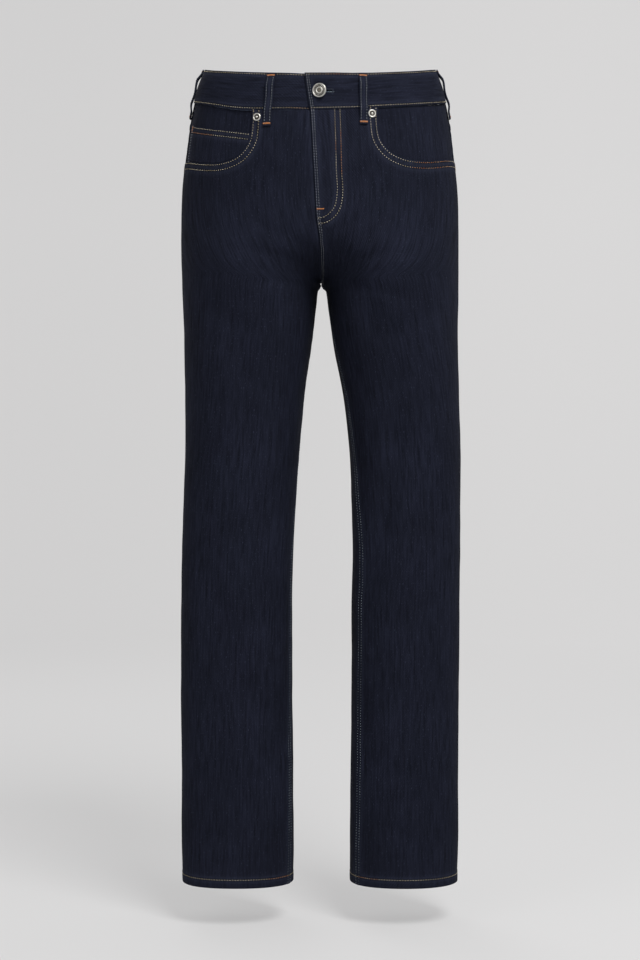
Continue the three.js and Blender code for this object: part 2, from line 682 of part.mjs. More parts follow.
for (const [hand, side] of [["right", -1], ["left", 1]]) {
  add(`front_${hand}`, frontPanel(side), DENIM);
  add(`back_${hand}`, backPanel(side), DENIM);
  add(`yoke_${hand}`, yoke(side), DENIM);
  add(`pocket_facing_${hand}`, pocketFacing(side), DENIM);
  add(`back_pocket_${hand}`, backPocket(side), DENIM);
}
add("waistband", withButtonhole(waistband()), DENIM);
add("coin_pocket", coinPocket(), DENIM);
for (const [name, spot] of Object.entries(LOOPS)) add(name, beltLoop(spot), DENIM);
add("fly_zip", flyZip(), TAPE);

const UP_ITS_AXIS = new THREE.Vector3(0, 1, 0);
const button = add("button", shankButton(), NICKEL);
const underlap = WAISTBAND_PROUD - OVERLAP.dip + SEAM_GAP;
button.position.copy(roundWaist(placeOfX(BUTTON.x, BUTTON.z), BUTTON.z, underlap));
button.quaternion.setFromUnitVectors(UP_ITS_AXIS, new THREE.Vector3(0, -1, 0));

for (const [name, { side, x, z }] of Object.entries(RIVETS)) {
  const rivet = add(name, turned(RIVET_OUTLINE, 16), NICKEL);
  const angle = angleToX("front", x, z);
  const normal = outwardNormal(side, "front", Math.abs(angle) + halfLoop("front", z).start, z);
  rivet.position.copy(onFace("front", angle, z, LAY_GAP));
  rivet.quaternion.setFromUnitVectors(UP_ITS_AXIS, normal);
}

export default jeans;
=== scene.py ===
# %% [markdown]
# # Slim fit jeans, hollow and filled out as if worn
# Denim jeans are cut from flat cloth, yet worn ones are a curved hollow form: two halves that run into
# each other at the hips and part into two legs. One way to make them is to drape flat panels by
# simulation, another is to sculpt. Here one formula gives the whole surface, and every panel is a thin
# grid laid on it, so that seams meet everywhere and every size can be named.

# %% Load the imported model and bake its placement into its meshes
import math

import bmesh
import bpy
import numpy as np
from mathutils import Matrix, Vector, noise
from mathutils.bvhtree import BVHTree
from mathutils.kdtree import KDTree


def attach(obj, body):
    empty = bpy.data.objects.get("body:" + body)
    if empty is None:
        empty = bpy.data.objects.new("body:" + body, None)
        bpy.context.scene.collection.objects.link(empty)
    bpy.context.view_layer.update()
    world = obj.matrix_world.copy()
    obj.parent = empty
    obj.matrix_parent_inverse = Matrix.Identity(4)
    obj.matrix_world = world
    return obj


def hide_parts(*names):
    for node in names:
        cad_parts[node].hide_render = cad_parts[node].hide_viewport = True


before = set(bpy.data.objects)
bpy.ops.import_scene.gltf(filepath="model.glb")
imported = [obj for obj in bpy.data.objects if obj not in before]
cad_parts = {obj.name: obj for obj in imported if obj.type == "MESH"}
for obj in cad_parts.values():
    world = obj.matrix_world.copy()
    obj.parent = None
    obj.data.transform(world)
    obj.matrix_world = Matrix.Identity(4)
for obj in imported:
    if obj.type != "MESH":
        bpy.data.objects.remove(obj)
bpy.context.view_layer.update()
MM = 0.001

# %% [markdown]
# The camera stands level with the middle of the garment, a little over two metres in front of it, with
# a long lens, as in a studio. Blender's lens is given for the longer side of the picture.

# %% Camera
CAMERA_AWAY, CAMERA_HEIGHT = 2.143, -0.472  # metres
LENS, SENSOR = 66.97, 36  # millimetres
camera = bpy.data.objects.new("camera", bpy.data.cameras.new("camera"))
camera.data.sensor_width, camera.data.lens = SENSOR, LENS
camera.location = (0, -CAMERA_AWAY, CAMERA_HEIGHT)
camera.rotation_euler = (math.pi / 2, 0, 0)
bpy.context.scene.collection.objects.link(camera)
bpy.context.scene.camera = camera

# %% [markdown]
# ## The form of the garment
# At each height the front or the back of one side is half a rounded loop. Its angle is 0 where it
# faces straight forwards or backwards, 90 degrees at the side seam and -90 at the inside of the leg.
# A short table gives the reach and the depth of the loops from the waist down, in millimetres.

# %% Sections, from the waist down to the hem
QUARTER = math.pi / 2
HIP_Z, CROTCH_Z, KNEE_Z, HEM_Z = -60.0, -238.0, -435.0, -951.0
SIDES = {"right": -1, "left": 1}
HANDS = {side: hand for hand, side in SIDES.items()}


def table(names, rows):
    """A table with named columns."""
    return dict(zip(names.split(), np.array(rows, dtype=float).T))


SECTIONS = table("z outer inner front back seam square", [
    (45, 129, 0, -95, 88, -4, 0.035),
    (20, 136.8, 0, -98, 92, -3, 0.035),
    (-18, 149.6, 0, -104, 100, -2, 0.035),
    (-52, 156.6, 0, -107, 109, 0, 0.035),
    (-100, 162.3, 0, -109, 119, 2, 0.035),
    (-148, 166, 0, -108, 124.5, 4, 0.03),
    (-196, 166.4, 0, -104, 121.5, 6, 0.025),
    (CROTCH_Z, 165.8, 0.3, -98, 114, 8, 0.02),
    (-245, 165.6, 5, -97, 112, 8, 0.02),
    (-262, 165.2, 6.6, -94, 108, 8, 0.025),
    (-304, 163.9, 12.3, -88, 99, 6, 0.03),
    (-376, 164.1, 23.7, -79, 85, 3, 0.04),
    (-472, 165.2, 32, -69, 70, -1, 0.045),
    (-568, 166.4, 35.4, -63, 65, -1, 0.045),
    (-700, 166.4, 35.2, -57, 64, 1, 0.045),
    (-832, 165.7, 34.2, -54, 60, 1, 0.045),
    (-904, 165.2, 33.2, -52, 57, 1, 0.045),
    (HEM_Z, 164.2, 34, -51, 56, 1, 0.045),
])
RISE_POWER = {"front": 4.5, "back": 3.3}  # how squarely the centre seam turns under
KNEE_SWAY, SWAY_REACH = 3.2, 125  # both knees lean towards the wearer's left
GAP_SWAY, GAP_SWAY_Z = 1.9, (CROTCH_Z + 38, CROTCH_Z - 12)  # and so does the gap between the legs

# How far each leg's inseam comes round to the front, in degrees
INSEAM_TURN = table("z left right", [
    (CROTCH_Z, 0, 0), (-300, 10, 0), (-376, 19, 0), (-472, 25, 4), (-568, 32, 10), (-700, 31, 14),
    (-832, 30, 18), (HEM_Z, 30, 22),
])


def cubic(t, step, first, last, leaving, arriving):
    """A cubic curve between two values with a slope at each, while t goes from 0 to 1 over a step."""
    low = (2 * t**3 - 3 * t**2 + 1) * first + (t**3 - 2 * t**2 + t) * step * leaving
    return low + (3 * t**2 - 2 * t**3) * last + (t**3 - t**2) * step * arriving


def read(source, key, z):
    """A column of a table at heights z, on a smooth curve that never overshoots the table."""
    heights, values = source["z"], source[key]
    steps = np.diff(heights)
    slopes = np.diff(values) / steps
    same_way = slopes[:-1] * slopes[1:] > 0
    total = np.where(same_way, slopes[:-1] + slopes[1:], 1)
    middle = np.where(same_way, 2 * slopes[:-1] * slopes[1:] / total, 0)
    tangents = np.concatenate([slopes[:1], middle, slopes[-1:]])
    n = np.clip(np.searchsorted(-heights, -np.asarray(z)) - 1, 0, len(steps) - 1)
    t = (z - heights[n]) / steps[n]
    return cubic(t, steps[n], values[n], values[n + 1], tangents[n], tangents[n + 1])


def inseam_turn(side, z):
    """The angle from the innermost line of a leg to its inseam, positive towards the front."""
    return np.where(z < CROTCH_Z, np.radians(read(INSEAM_TURN, HANDS[side], z)), 0)


# %% Half loops, points and normals
def smoothstep(start, end, value):
    t = np.clip((value - start) / (end - start), 0, 1)
    return t * t * (3 - 2 * t)


def lerp(a, b, t):
    return a + (b - a) * t


def half_loop(front, z):
    """start, half width, centre, depth, seam depth and squareness of a half loop. start is its angle at
    the centre seam, or at the inside of the leg below the crotch."""
    outer, inner, seam, square = (read(SECTIONS, key, z) for key in ("outer", "inner", "seam", "square"))
    depth = np.abs(np.where(front, read(SECTIONS, "front", z), read(SECTIONS, "back", z)) - seam)
    above = np.clip((HIP_Z - z) / (HIP_Z - CROTCH_Z), 0, 1)
    lean = QUARTER * above ** np.where(front, RISE_POWER["front"], RISE_POWER["back"])
    reach = np.sin(lean) * (1 + square * np.sin(2 * lean) ** 2)
    half_width = np.where(z <= CROTCH_Z, (outer - inner) / 2, outer / (1 + reach))
    return -lean, half_width, outer - half_width, depth, seam, square


def unfolded(side, front, angle, z):
    """The garment's surface before its folds."""
    _, half_width, centre, depth, seam, square = half_loop(front, z)
    swell = 1 + square * np.sin(2 * angle) ** 2
    gap_sway = GAP_SWAY * smoothstep(*GAP_SWAY_Z, z) * (1 - np.sin(angle)) / 2
    sway = KNEE_SWAY * np.exp(-(((z - KNEE_Z) / SWAY_REACH) ** 2)) + gap_sway
    x = side * (centre + half_width * np.sin(angle) * swell) + sway
    y = seam + np.where(front, -1, 1) * depth * np.cos(angle) * swell
    return np.stack(np.broadcast_arrays(x, y, z), axis=-1)


def unit(vectors):
    return vectors / np.maximum(np.linalg.norm(vectors, axis=-1, keepdims=True), 1e-9)


def outward(side, front, angle, z):
    across = unfolded(side, front, angle + 0.01, z) - unfolded(side, front, angle - 0.01, z)
    up = unfolded(side, front, angle, z + 1) - unfolded(side, front, angle, z - 1)
    return unit(np.cross(across, up)) * (np.where(front, 1, -1) * side)[..., None]


# %% [markdown]
# ## Folds
# Cloth that is filled out has few folds: long soft troughs down the thighs and shins, short ones where
# the legs part, behind the knees and above the hems. They are given one by one. Each row is a line on the
# front or the back, with the half width of its trough and its depth, and a negative depth is a ridge.
# The longest are in the imported model too. A faint unevenness of two sizes keeps the rest from looking
# machined.

# %% Troughs and ridges
FRONT, BACK = 1, 0
FOLDS = table("face x0 z0 x1 z1 half depth", [
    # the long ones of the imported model
    (FRONT, -97, -296, -60, -515, 16, 3), (FRONT, -136, -560, -90, -725, 15, 2.4),
    (FRONT, -48, -786, -112, -892, 13, 4), (FRONT, -58, -742, -56, -770, 11, 1.8),
    (FRONT, 18, -205, 66, -300, 15, 3), (FRONT, 88, -310, 87, -425, 15, 2),
    (FRONT, 87, -425, 62, -592, 13, 3.4), (FRONT, 62, -804, 98, -816, 12, 2),
    (FRONT, 62, -876, 102, -892, 12, 1.8),
    (BACK, -42, -264, -112, -240, 13, 2.6), (BACK, 42, -262, 116, -244, 13, 2.6),
    (BACK, -56, -306, -120, -290, 13, 2), (BACK, 60, -300, 112, -282, 12, 1.6),
    (BACK, -62, -478, -138, -456, 13, 3.2), (BACK, -66, -522, -130, -538, 13, 2.6),
    (BACK, 60, -466, 134, -484, 13, 3), (BACK, 72, -528, 140, -512, 13, 2.4),
    (BACK, -118, -720, -70, -850, 15, 2.6), (BACK, 76, -760, 118, -880, 15, 2.6),
])
CREASES = table("face x0 z0 x1 z1 half depth", [
    # whiskers that fan out from the crotch across the fronts
    (FRONT, -14, -206, -74, -176, 6.5, 1.1), (FRONT, -18, -222, -98, -205, 7, 1.3),
    (FRONT, -20, -238, -84, -246, 6, 1.0), (FRONT, 14, -190, 60, -168, 6, 0.9),
    (FRONT, 20, -224, 92, -210, 7, 1.2), (FRONT, 24, -246, 96, -262, 6.5, 1.1),
    (FRONT, -30, -262, -70, -300, 7, 1.0), (FRONT, 26, -300, 44, -352, 7, 1.2),
    # ridges beside the long troughs
    (FRONT, -114, -330, -84, -500, 12, -1.2), (FRONT, 108, -330, 88, -520, 12, -1.3),
    (FRONT, -110, -590, -76, -700, 11, -1.0), (FRONT, -66, -820, -116, -880, 8, -1.2),
    # above the knees, down the shins and stacked over the hems
    (FRONT, 128, -420, 138, -540, 9, 1.1), (FRONT, -52, -560, -50, -640, 8, 1.2),
    (FRONT, -140, -700, -124, -800, 9, 1.0), (FRONT, 120, -620, 132, -740, 10, 1.1),
    (FRONT, 72, -640, 66, -720, 9, 1.0), (FRONT, 104, -700, 92, -782, 9, 1.1),
    (FRONT, 66, -850, 110, -846, 7, 0.9), (FRONT, -60, -912, -122, -922, 7, 1.0),
    (FRONT, 76, -920, 128, -910, 7, 0.9),
    # short puckers under the waistband and beside the pocket mouths
    (FRONT, -108, -40, -96, -52, 4, 0.8), (FRONT, -118, -48, -104, -66, 4.5, 0.7),
    (FRONT, -46, -52, -8, -48, 3.5, 1.2), (FRONT, -44, -60, -14, -66, 5, 0.7),
    (FRONT, 66, -58, 84, -68, 4, 1.1), (FRONT, 70, -76, 92, -84, 4.5, 0.7),
    (FRONT, 40, -76, 52, -92, 5, 0.6), (FRONT, -56, -84, -40, -104, 5, 0.6),
    # across the seat, under it and behind the knees
    (BACK, -24, -200, -84, -190, 7, 0.9), (BACK, 26, -206, 80, -192, 7, 0.9),
    (BACK, -50, -284, -104, -266, 7, -0.9), (BACK, 56, -281, 108, -264, 7, -0.9),
    (BACK, -70, -440, -128, -428, 8, 1.3), (BACK, 76, -446, 128, -438, 8, 1.1),
    (BACK, -72, -500, -132, -496, 9, -1.3), (BACK, 74, -506, 134, -498, 9, -1.2),
    (BACK, -80, -560, -126, -582, 8, 1.2), (BACK, 84, -556, 128, -570, 8, 1.0),
    (BACK, -60, -640, -72, -720, 10, 1.0), (BACK, 130, -640, 120, -730, 10, 1.1),
    (BACK, -62, -884, -118, -900, 8, 1.1), (BACK, 70, -896, 126, -884, 8, 1.1),
])
UNEVEN = ((78, 0.85), (24, 0.28))  # size and height of the unevenness


def fold_depth(front, angle, point):
    """How far the folds draw the cloth in. They fade towards the seams."""
    depth = np.zeros(angle.shape)
    for folds in (FOLDS, CREASES):
        for face, x0, z0, x1, z1, half, deep in zip(*folds.values()):
            along_x, along_z = x1 - x0, z1 - z0
            from_x, from_z = point[..., 0] - x0, point[..., 2] - z0
            t = np.clip((from_x * along_x + from_z * along_z) / (along_x**2 + along_z**2), 0, 1)
            away = np.hypot(from_x - t * along_x, from_z - t * along_z)
            depth += np.where(front == (face == FRONT), deep * np.exp(-((away / half) ** 2)), 0)
    return depth * np.sqrt(np.clip(np.cos(angle), 0, 1))


def unevenness(point):
    flat = point.reshape(-1, 3)
    total = np.zeros(len(flat))
    for size, height in UNEVEN:
        total += height * np.array([noise.noise(Vector(p)) for p in flat / size])
    return total.reshape(point.shape[:-1])


def on_cloth(side, front, angle, z, lift=0.0):
    """Points of the garment, lifted off it, and its normals. Angles before -90 degrees have gone round
    the inside of the leg to the other face."""
    side, front, angle, z, lift = np.broadcast_arrays(side, front, angle, z, lift)
    past = angle < -QUARTER
    front = front ^ past
    angle = np.where(past, -math.pi - angle, angle)
    point = unfolded(side, front, angle, z)
    normal = outward(side, front, angle, z)
    inward = fold_depth(front, angle, point) + unevenness(point)
    return point + normal * (lift - inward)[..., None], normal


def angle_at(x, z, front=True):
    """The angle from the centre line, positive on the wearer's left, of the points x from the centre."""
    x, z = np.broadcast_arrays(np.asarray(x, dtype=float), np.asarray(z, dtype=float))
    start, half_width, centre, _, _, square = half_loop(front, z)
    low, high = start, np.full(x.shape, QUARTER)
    for _ in range(30):
        middle = (low + high) / 2
        reach = centre + half_width * np.sin(middle) * (1 + square * np.sin(2 * middle) ** 2)
        low, high = np.where(reach < np.abs(x), middle, low), np.where(reach < np.abs(x), high, middle)
    return np.where(x < 0, -1, 1) * (low - start)


def from_centre(angle, z, front=True, lift=0.0):
    """Points and normals by their angle from the centre line."""
    side = np.where(np.asarray(angle) < 0, -1, 1)
    return on_cloth(side, front, np.abs(angle) + half_loop(front, z)[0], z, lift)


def at_x(x, z, front=True, lift=0.0):
    """Points and normals by their distance from the centre line and their height."""
    return from_centre(angle_at(x, z, front), z, front, lift)


# %% The waist's tilted edge
WAIST_SIDE_Z, WAIST_TILT, WAIST_BOW = 20, 0.2, -0.00063
WAISTBAND_HEIGHT = 40
WAIST_SAGS = ((0, 2.8, 0.24), (-0.36, 4, 0.19))  # place, depth and reach of the lower edge's sags
SEAM_GAP = 0.3


def round_angle(place):
    """The angle of a place round the waist: place 0 is the centre front, 1 the side seam and 2 the centre
    back, negative on the right."""
    share = np.abs(place)
    return np.where(share < 1, share, 2 - share) * QUARTER


def round_waist(place, z, lift=0.0):
    return on_cloth(np.where(place < 0, -1, 1), np.abs(place) < 1, round_angle(place), z, lift)


def waist_top(place):
    y = unfolded(1, np.abs(place) < 1, round_angle(place), np.zeros(np.shape(place)))[..., 1]
    return WAIST_SIDE_Z + WAIST_TILT * y + WAIST_BOW * y * y


def waist_seam(place):
    sags = sum(deep * np.exp(-(((place - at) / reach) ** 2)) for at, deep, reach in WAIST_SAGS)
    return waist_top(place) - WAISTBAND_HEIGHT - sags


probe = np.array([0.0, 1.0, 2.0])
print("height of the waist at front, side and back:", np.round(waist_top(probe), 1), "mm")

# %% [markdown]
# ## Lines on the cloth
# Seams, rows of stitches and raised bands are all lines on the surface. They come before the panels,
# because stitching draws the cloth in and puckers it: a panel is made with its rows already known.
# A line beside a seam is the seam's own line moved across the cloth by a real distance.

# %% Lines and rows
def spaced(points, step):
    """The same line with its points about step apart."""
    reach = np.concatenate([[0], np.cumsum(np.linalg.norm(np.diff(points, axis=0), axis=1))])
    even = np.linspace(0, reach[-1], max(2, round(reach[-1] / step) + 1))
    return np.stack([np.interp(even, reach, points[:, axis]) for axis in range(3)], axis=1)


def beside(line, distance, towards):
    """A line moved across the cloth by a distance, to the side that towards points to."""
    points, normals = line
    across = np.cross(normals, unit(np.gradient(points, axis=0)))
    return points + across * np.sign(np.sum(across * towards)) * distance


FLY_TOP_X, FLY_TURN_X = -11, -4.5
FLY_TOP_Z, FLY_TURN_Z, FLY_END_Z = -46, -165, -203


def fly_edge_x(z):
    """The edge of the fly, on the wearer's right of the centre, which it joins below the zip."""
    slanted = lerp(FLY_TOP_X, FLY_TURN_X, (FLY_TOP_Z - z) / (FLY_TOP_Z - FLY_TURN_Z))
    return np.where(z > FLY_TURN_Z, slanted, FLY_TURN_X * (1 - smoothstep(FLY_TURN_Z, FLY_END_Z, z)))


YOKE_SIDE_Z, YOKE_CENTRE_Z = -53, -74


def yoke_seam(angle):
    return lerp(YOKE_CENTRE_Z, YOKE_SIDE_Z, np.sin(angle))


FORWARDS, BACKWARDS = np.array((0, -1, 0)), np.array((0, 1, 0))
UPWARDS, LEFTWARDS = np.array((0, 0, 1)), np.array((1, 0, 0))
PIECES = {}  # what is sewn: each piece's rows, bands and, once it is made, its surface


def piece(name):
    return PIECES.setdefault(name, {"rows": [], "threads": [], "bands": [], "near": []})


def sewn(name, rows, bands=(), near=(), thread="pale", orange=None):
    """Rows of stitches on a piece, its raised bands, and the pieces that they pucker too. orange lists
    the runs, as shares of a row's length, that are sewn in the other colour. None scatters them."""
    piece(name)["rows"] += rows
    piece(name)["threads"] += [(thread, orange)] * len(rows)
    piece(name)["bands"] += bands
    for other in near:
        piece(other)["near"] += rows


# %% [markdown]
# The inseams and the centre back are lapped seams: one edge is folded over the other and held by two
# rows, so a strip 9 mm wide stands out. The yokes lap over the backs in the same way. The fly's edge
# carries a close pair of rows down to the crotch. The hems are folded up 12 mm and sewn with one row.

# %% Rows along the seams
LAP, LAP_PROUD, FIRST_ROW, SECOND_ROW = 9, 0.6, 1.7, 7.4
FLY_ROWS = (1.3, 3.8)
HEM_HEIGHT, HEM_ROW = 12, 10
HEM_TOP_Z = HEM_Z + HEM_HEIGHT + 0.3
JUST_LEFT = 1e-6  # an angle so small that a point is on the centre, yet counts as the left side's


def two_rows(seam, towards):
    return [beside(seam, away, towards) for away in (FIRST_ROW, SECOND_ROW)]


def lapped(name, seam, towards, under, **thread):
    """A lapped seam: two rows and a raised strip on one piece, which pucker the piece under it too."""
    strip = (beside(seam, LAP / 2, towards), LAP / 2, LAP_PROUD)
    sewn(name, two_rows(seam, towards), [strip], [under], **thread)


def centre_back(z):
    return from_centre(np.full(z.shape, JUST_LEFT), z, front=False)


for hand, side in SIDES.items():
    z = np.linspace(HEM_Z + 0.5, CROTCH_Z - 1.5, 360)
    inseam = on_cloth(side, True, inseam_turn(side, z) - QUARTER, z)
    lapped(f"front_{hand}", inseam, FORWARDS, f"back_{hand}", thread="tonal", orange=[])

    turned = inseam_turn(side, HEM_Z)
    for name, front, start in ((f"front_{hand}", True, turned), (f"back_{hand}", False, -turned)):
        angle = np.linspace(start - QUARTER, QUARTER, 160)
        hem = on_cloth(side, front, angle, np.full(angle.shape, HEM_Z + HEM_ROW))[0]
        sewn(name, [hem], orange=[(0.02, 0.2)] if front else None)

    z = np.linspace(YOKE_SIDE_Z - 4, -168, 60)
    side_seam = on_cloth(side, False, QUARTER, z)
    row = beside(side_seam, FIRST_ROW, BACKWARDS)
    sewn(f"back_{hand}", [row], near=[f"front_{hand}"], thread="tonal", orange=[])

    angle = np.linspace(0.01, QUARTER - 0.02, 90)
    lapped(f"yoke_{hand}", on_cloth(side, False, angle, yoke_seam(angle)), UPWARDS, f"back_{hand}")

seat_seam = centre_back(np.linspace(CROTCH_Z + 1, YOKE_CENTRE_Z - 2, 90))
lapped("back_left", seat_seam, LEFTWARDS, "back_right")
yoke_middle = centre_back(np.linspace(-11, YOKE_CENTRE_Z, 30))
sewn("yoke_left", two_rows(yoke_middle, LEFTWARDS), near=["yoke_right"])

z = np.linspace(CROTCH_Z + 2, FLY_TOP_Z - 1, 100)
fly_edge = at_x(fly_edge_x(z), z)
rows = [beside(fly_edge, away, LEFTWARDS) for away in FLY_ROWS]
sewn("front_left", rows, near=["front_right"], thread="grey", orange=[])

# %% [markdown]
# The fly is topstitched with a double row in the shape of a J, which turns in under the zip and meets
# the fly's edge. The pocket mouths are scooped, folded over 9 mm and sewn with two rows.

# %% Rows of the fly and the pocket mouths
def rounded(knots, values, fine):
    """A cubic curve through values, with the slope at each one taken from its neighbours."""
    slopes = np.gradient(values, knots)
    n = np.clip(np.searchsorted(knots, fine) - 1, 0, len(knots) - 2)
    step = knots[n + 1] - knots[n]
    return cubic((fine - knots[n]) / step, step, values[n], values[n + 1], slopes[n], slopes[n + 1])


def smooth_outline(corners):
    """A smooth line through a few points given by x and z."""
    corners = np.array(corners, dtype=float)
    reach = np.concatenate([[0], np.cumsum(np.hypot(*np.diff(corners, axis=0).T))])
    fine = np.linspace(0, reach[-1], 140)
    return np.stack([rounded(reach, corners[:, axis], fine) for axis in (0, 1)], axis=1)


def on_front(corners):
    return at_x(*smooth_outline(corners).T)


J_INNER = [(16.5, -47), (17.6, -80), (18.4, -117), (19, -150), (16.8, -160), (11.6, -167), (4, -172),
           (-3.4, -173)]
J_OUTER = [(22.7, -47), (23.8, -80), (24.6, -117), (25.2, -152), (22.6, -163), (17.2, -171), (8, -177.5),
           (-2.4, -179)]
for outline, orange in ((J_INNER, [(0.26, 0.34)]), (J_OUTER, [(0.16, 0.5)])):
    sewn("front_left", [on_front(outline)[0]], orange=orange)

# the upper front corner of each mouth, round to the side seam
MOUTHS = {
    "right": [(-78, -36), (-78, -64), (-82, -86), (-94, -100), (-110, -105.5), (-138, -103), (-159, -95)],
    "left": [(66, -36), (66, -64), (69, -82), (79, -95), (97, -103), (120, -103.5), (159, -93)],
}
MOUTH_FOLD, FOLD_PROUD, MOUTH_ROWS = 9, 0.5, (1.8, 8.2)
MIDDLE_X, MIDDLE_Z = 125, -60  # a point inside each mouth
MOUTH_ORANGE = {"right": [], "left": [(0.52, 0.86)]}
BEYOND_SIDE, ABOVE_WAIST = 200, 60
mouth_outlines = {}  # closed outlines of x and z, on and outside each mouth
for hand, outline in MOUTHS.items():
    side = SIDES[hand]
    edge = on_front(outline)
    away = edge[0] - at_x(side * MIDDLE_X, MIDDLE_Z)[0]
    rows = [beside(edge, distance, away) for distance in MOUTH_ROWS]
    fold = [(beside(edge, MOUTH_FOLD / 2, away), MOUTH_FOLD / 2 + 0.4, FOLD_PROUD)]
    sewn(f"front_{hand}", rows, fold, orange=MOUTH_ORANGE[hand])
    flat = [tuple(p) for p in smooth_outline(outline)]
    far = side * BEYOND_SIDE
    mouth_outlines[hand] = [(outline[0][0], ABOVE_WAIST), *flat, (far, flat[-1][1]), (far, ABOVE_WAIST)]
print("rows so far:", sum(len(p["rows"]) for p in PIECES.values()))

# %% [markdown]
# ## Materials
# Every colour is written as the sRGB value that the eye sees and turned to the linear value that the
# shader needs. One small function adds a node, sets it and links it, and three more make the kinds that
# every material uses: a noise, a change of range and a mix of two colours.

# %% Colours and nodes
def linear(colour):
    """An sRGB hex colour as linear red, green, blue and alpha."""
    channels = [int(colour[n:n + 2], 16) / 255 for n in (0, 2, 4)]
    return [c / 12.92 if c <= 0.04045 else ((c + 0.055) / 1.055) ** 2.4 for c in channels] + [1]


def fill(tree, node, inputs):
    """Fills a node's inputs with values or with other nodes' outputs."""
    for key, value in inputs.items():
        if isinstance(value, bpy.types.NodeSocket):
            tree.links.new(value, node.inputs[key])
        else:
            node.inputs[key].default_value = value


def add(tree, kind, inputs=(), **settings):
    node = tree.nodes.new(kind)
    for key, value in settings.items():
        setattr(node, key, value)
    fill(tree, node, dict(inputs))
    return node


def noise_at(tree, place, scale, detail):
    return add(tree, "ShaderNodeTexNoise", {"Vector": place, "Scale": scale, "Detail": detail}).outputs[0]


def ranged(tree, value, start=0.0, end=1.0, low=0.0, high=1.0, **settings):
    """Turns a value that runs from start to end into one that runs from low to high."""
    ends = {"Value": value, "From Min": start, "From Max": end, "To Min": low, "To Max": high}
    return add(tree, "ShaderNodeMapRange", ends, **settings).outputs[0]


def between(tree, share, first, second):
    """A colour between two others, by its share of the second."""
    return add(tree, "ShaderNodeMix", {0: share, 6: first, 7: second}, data_type="RGBA").outputs[2]


def new_material(name):
    material = bpy.data.materials.new(name)
    material.use_nodes = True
    return material, material.node_tree, material.node_tree.nodes["Principled BSDF"]


# %% [markdown]
# Denim is a 3/1 twill: indigo warp threads run up the cloth over white weft threads, and spinning leaves
# thick places in the warp, the slubs. From a step away a dark rinse denim looks nearly black-blue and
# matt, with fine upright streaks and tiny pale flecks of weft. The pattern could be an image, but nodes
# on the cloth's own map keep its scale true on every piece. The real twill lines are 0.6 mm
# apart, too fine to show, so they are drawn 1.7 mm apart. The back of the cloth shows more weft and is
# paler.

# %% Denim
TWILL, FLECK = 1.7, 1.3  # millimetres, as are the widths and lengths of the patches
SLUB, STREAK, CLOUD = (2.1, 26), (5, 120), (60, 90)
WAVE_PERIOD = math.pi / 10  # a wave texture of scale 1 repeats after this length


def denim(name, deep, dark, light, pale, flecks):
    """Indigo denim of a dark and a light tone, with a share of pale flecks. Deep is painted shade, darkest in
    the grooves right under the stitches, and a little off the rows the cloth is paler by wear and a painted
    highlight.
    """
    material, tree, shader = new_material(name)
    uv = add(tree, "ShaderNodeUVMap", uv_map="Cloth").outputs["UV"]

    def scaled(wide, long, turn=0.0):
        turned = add(tree, "ShaderNodeMapping", {"Vector": uv, "Rotation": (0, 0, turn)}, vector_type="POINT")
        size = (1 / (wide * MM), 1 / (long * MM), 1)
        return add(tree, "ShaderNodeMapping", {"Vector": turned.outputs[0], "Scale": size}).outputs[0]

    def noisy(wide, long, low, high, detail=2.0):
        return ranged(tree, noise_at(tree, scaled(wide, long), 1, detail), low, high)

    slubs = noisy(*SLUB, 0.34, 0.7)
    streaks = noisy(*STREAK, 0.35, 0.7)
    cloudy = noisy(*CLOUD, 0.34, 0.66, detail=1.0)
    specks = noisy(FLECK, FLECK * 2.2, 0.7, 0.84, detail=0.0)
    lines = {"Vector": scaled(1, 1, math.radians(-27)), "Scale": WAVE_PERIOD / TWILL}
    twill = add(tree, "ShaderNodeTexWave", lines, wave_type="BANDS", bands_direction="X").outputs["Fac"]
    # Right on the rows, deep is mixed in as painted shade in the stitch grooves.
    near_seam = add(tree, "ShaderNodeAttribute", attribute_name="seam").outputs["Fac"]
    # A few millimetres off the rows the cloth is paler, partly by wear and partly as a painted highlight on
    # the puckers.
    wear_and_highlight, groove_shade = ranged(tree, near_seam, 0.15, 0.5), ranged(tree, near_seam, 0.6, 0.9)

    tone = linear(dark)
    for pattern, most, colour in ((slubs, 0.6, light), (streaks, 0.35, light), (cloudy, 0.45, dark),
                                  (twill, 0.1, dark), (specks, flecks, pale), (wear_and_highlight, 0.08, pale),
                                  (groove_shade, 0.7, deep)):
        share = add(tree, "ShaderNodeMath", {0: pattern, 1: most}, operation="MULTIPLY").outputs[0]
        tone = between(tree, share, tone, linear(colour))
    height = add(tree, "ShaderNodeMath", {0: twill, 1: slubs}, operation="ADD").outputs[0]
    bump = add(tree, "ShaderNodeBump", {"Strength": 0.45, "Distance": 0.25 * MM, "Height": height})
    dull = ranged(tree, slubs, low=0.95, high=0.82)
    fill(tree, shader, {"Base Color": tone, "Roughness": dull, "Specular IOR Level": 0.05,
                        "Normal": bump.outputs[0]})
    return material


# The first colour of each denim is the painted shade in the grooves under the stitches.
dark_rinse_denim = denim("dark_rinse_denim_face", "090b10", "11131c", "222534", "474d62", 0.2)
denim_back = denim("dark_rinse_denim_back", "262c38", "353c4a", "515a69", "8b939e", 0.5)
print("denim drawn with twill lines", TWILL, "mm apart")

# %% [markdown]
# Topstitching is a corespun polyester thread in a pale dusty cream, which the maker changes to orange on
# some runs, and the tacks that hold the corners are orange too. The fly's edge and the loops are sewn in
# a grey-blue one, and the inseams in one nearly as dark as the cloth. Each stitch is real geometry, so
# the material only needs its colours, between which each stitch chooses by an attribute, and fine fuzz.

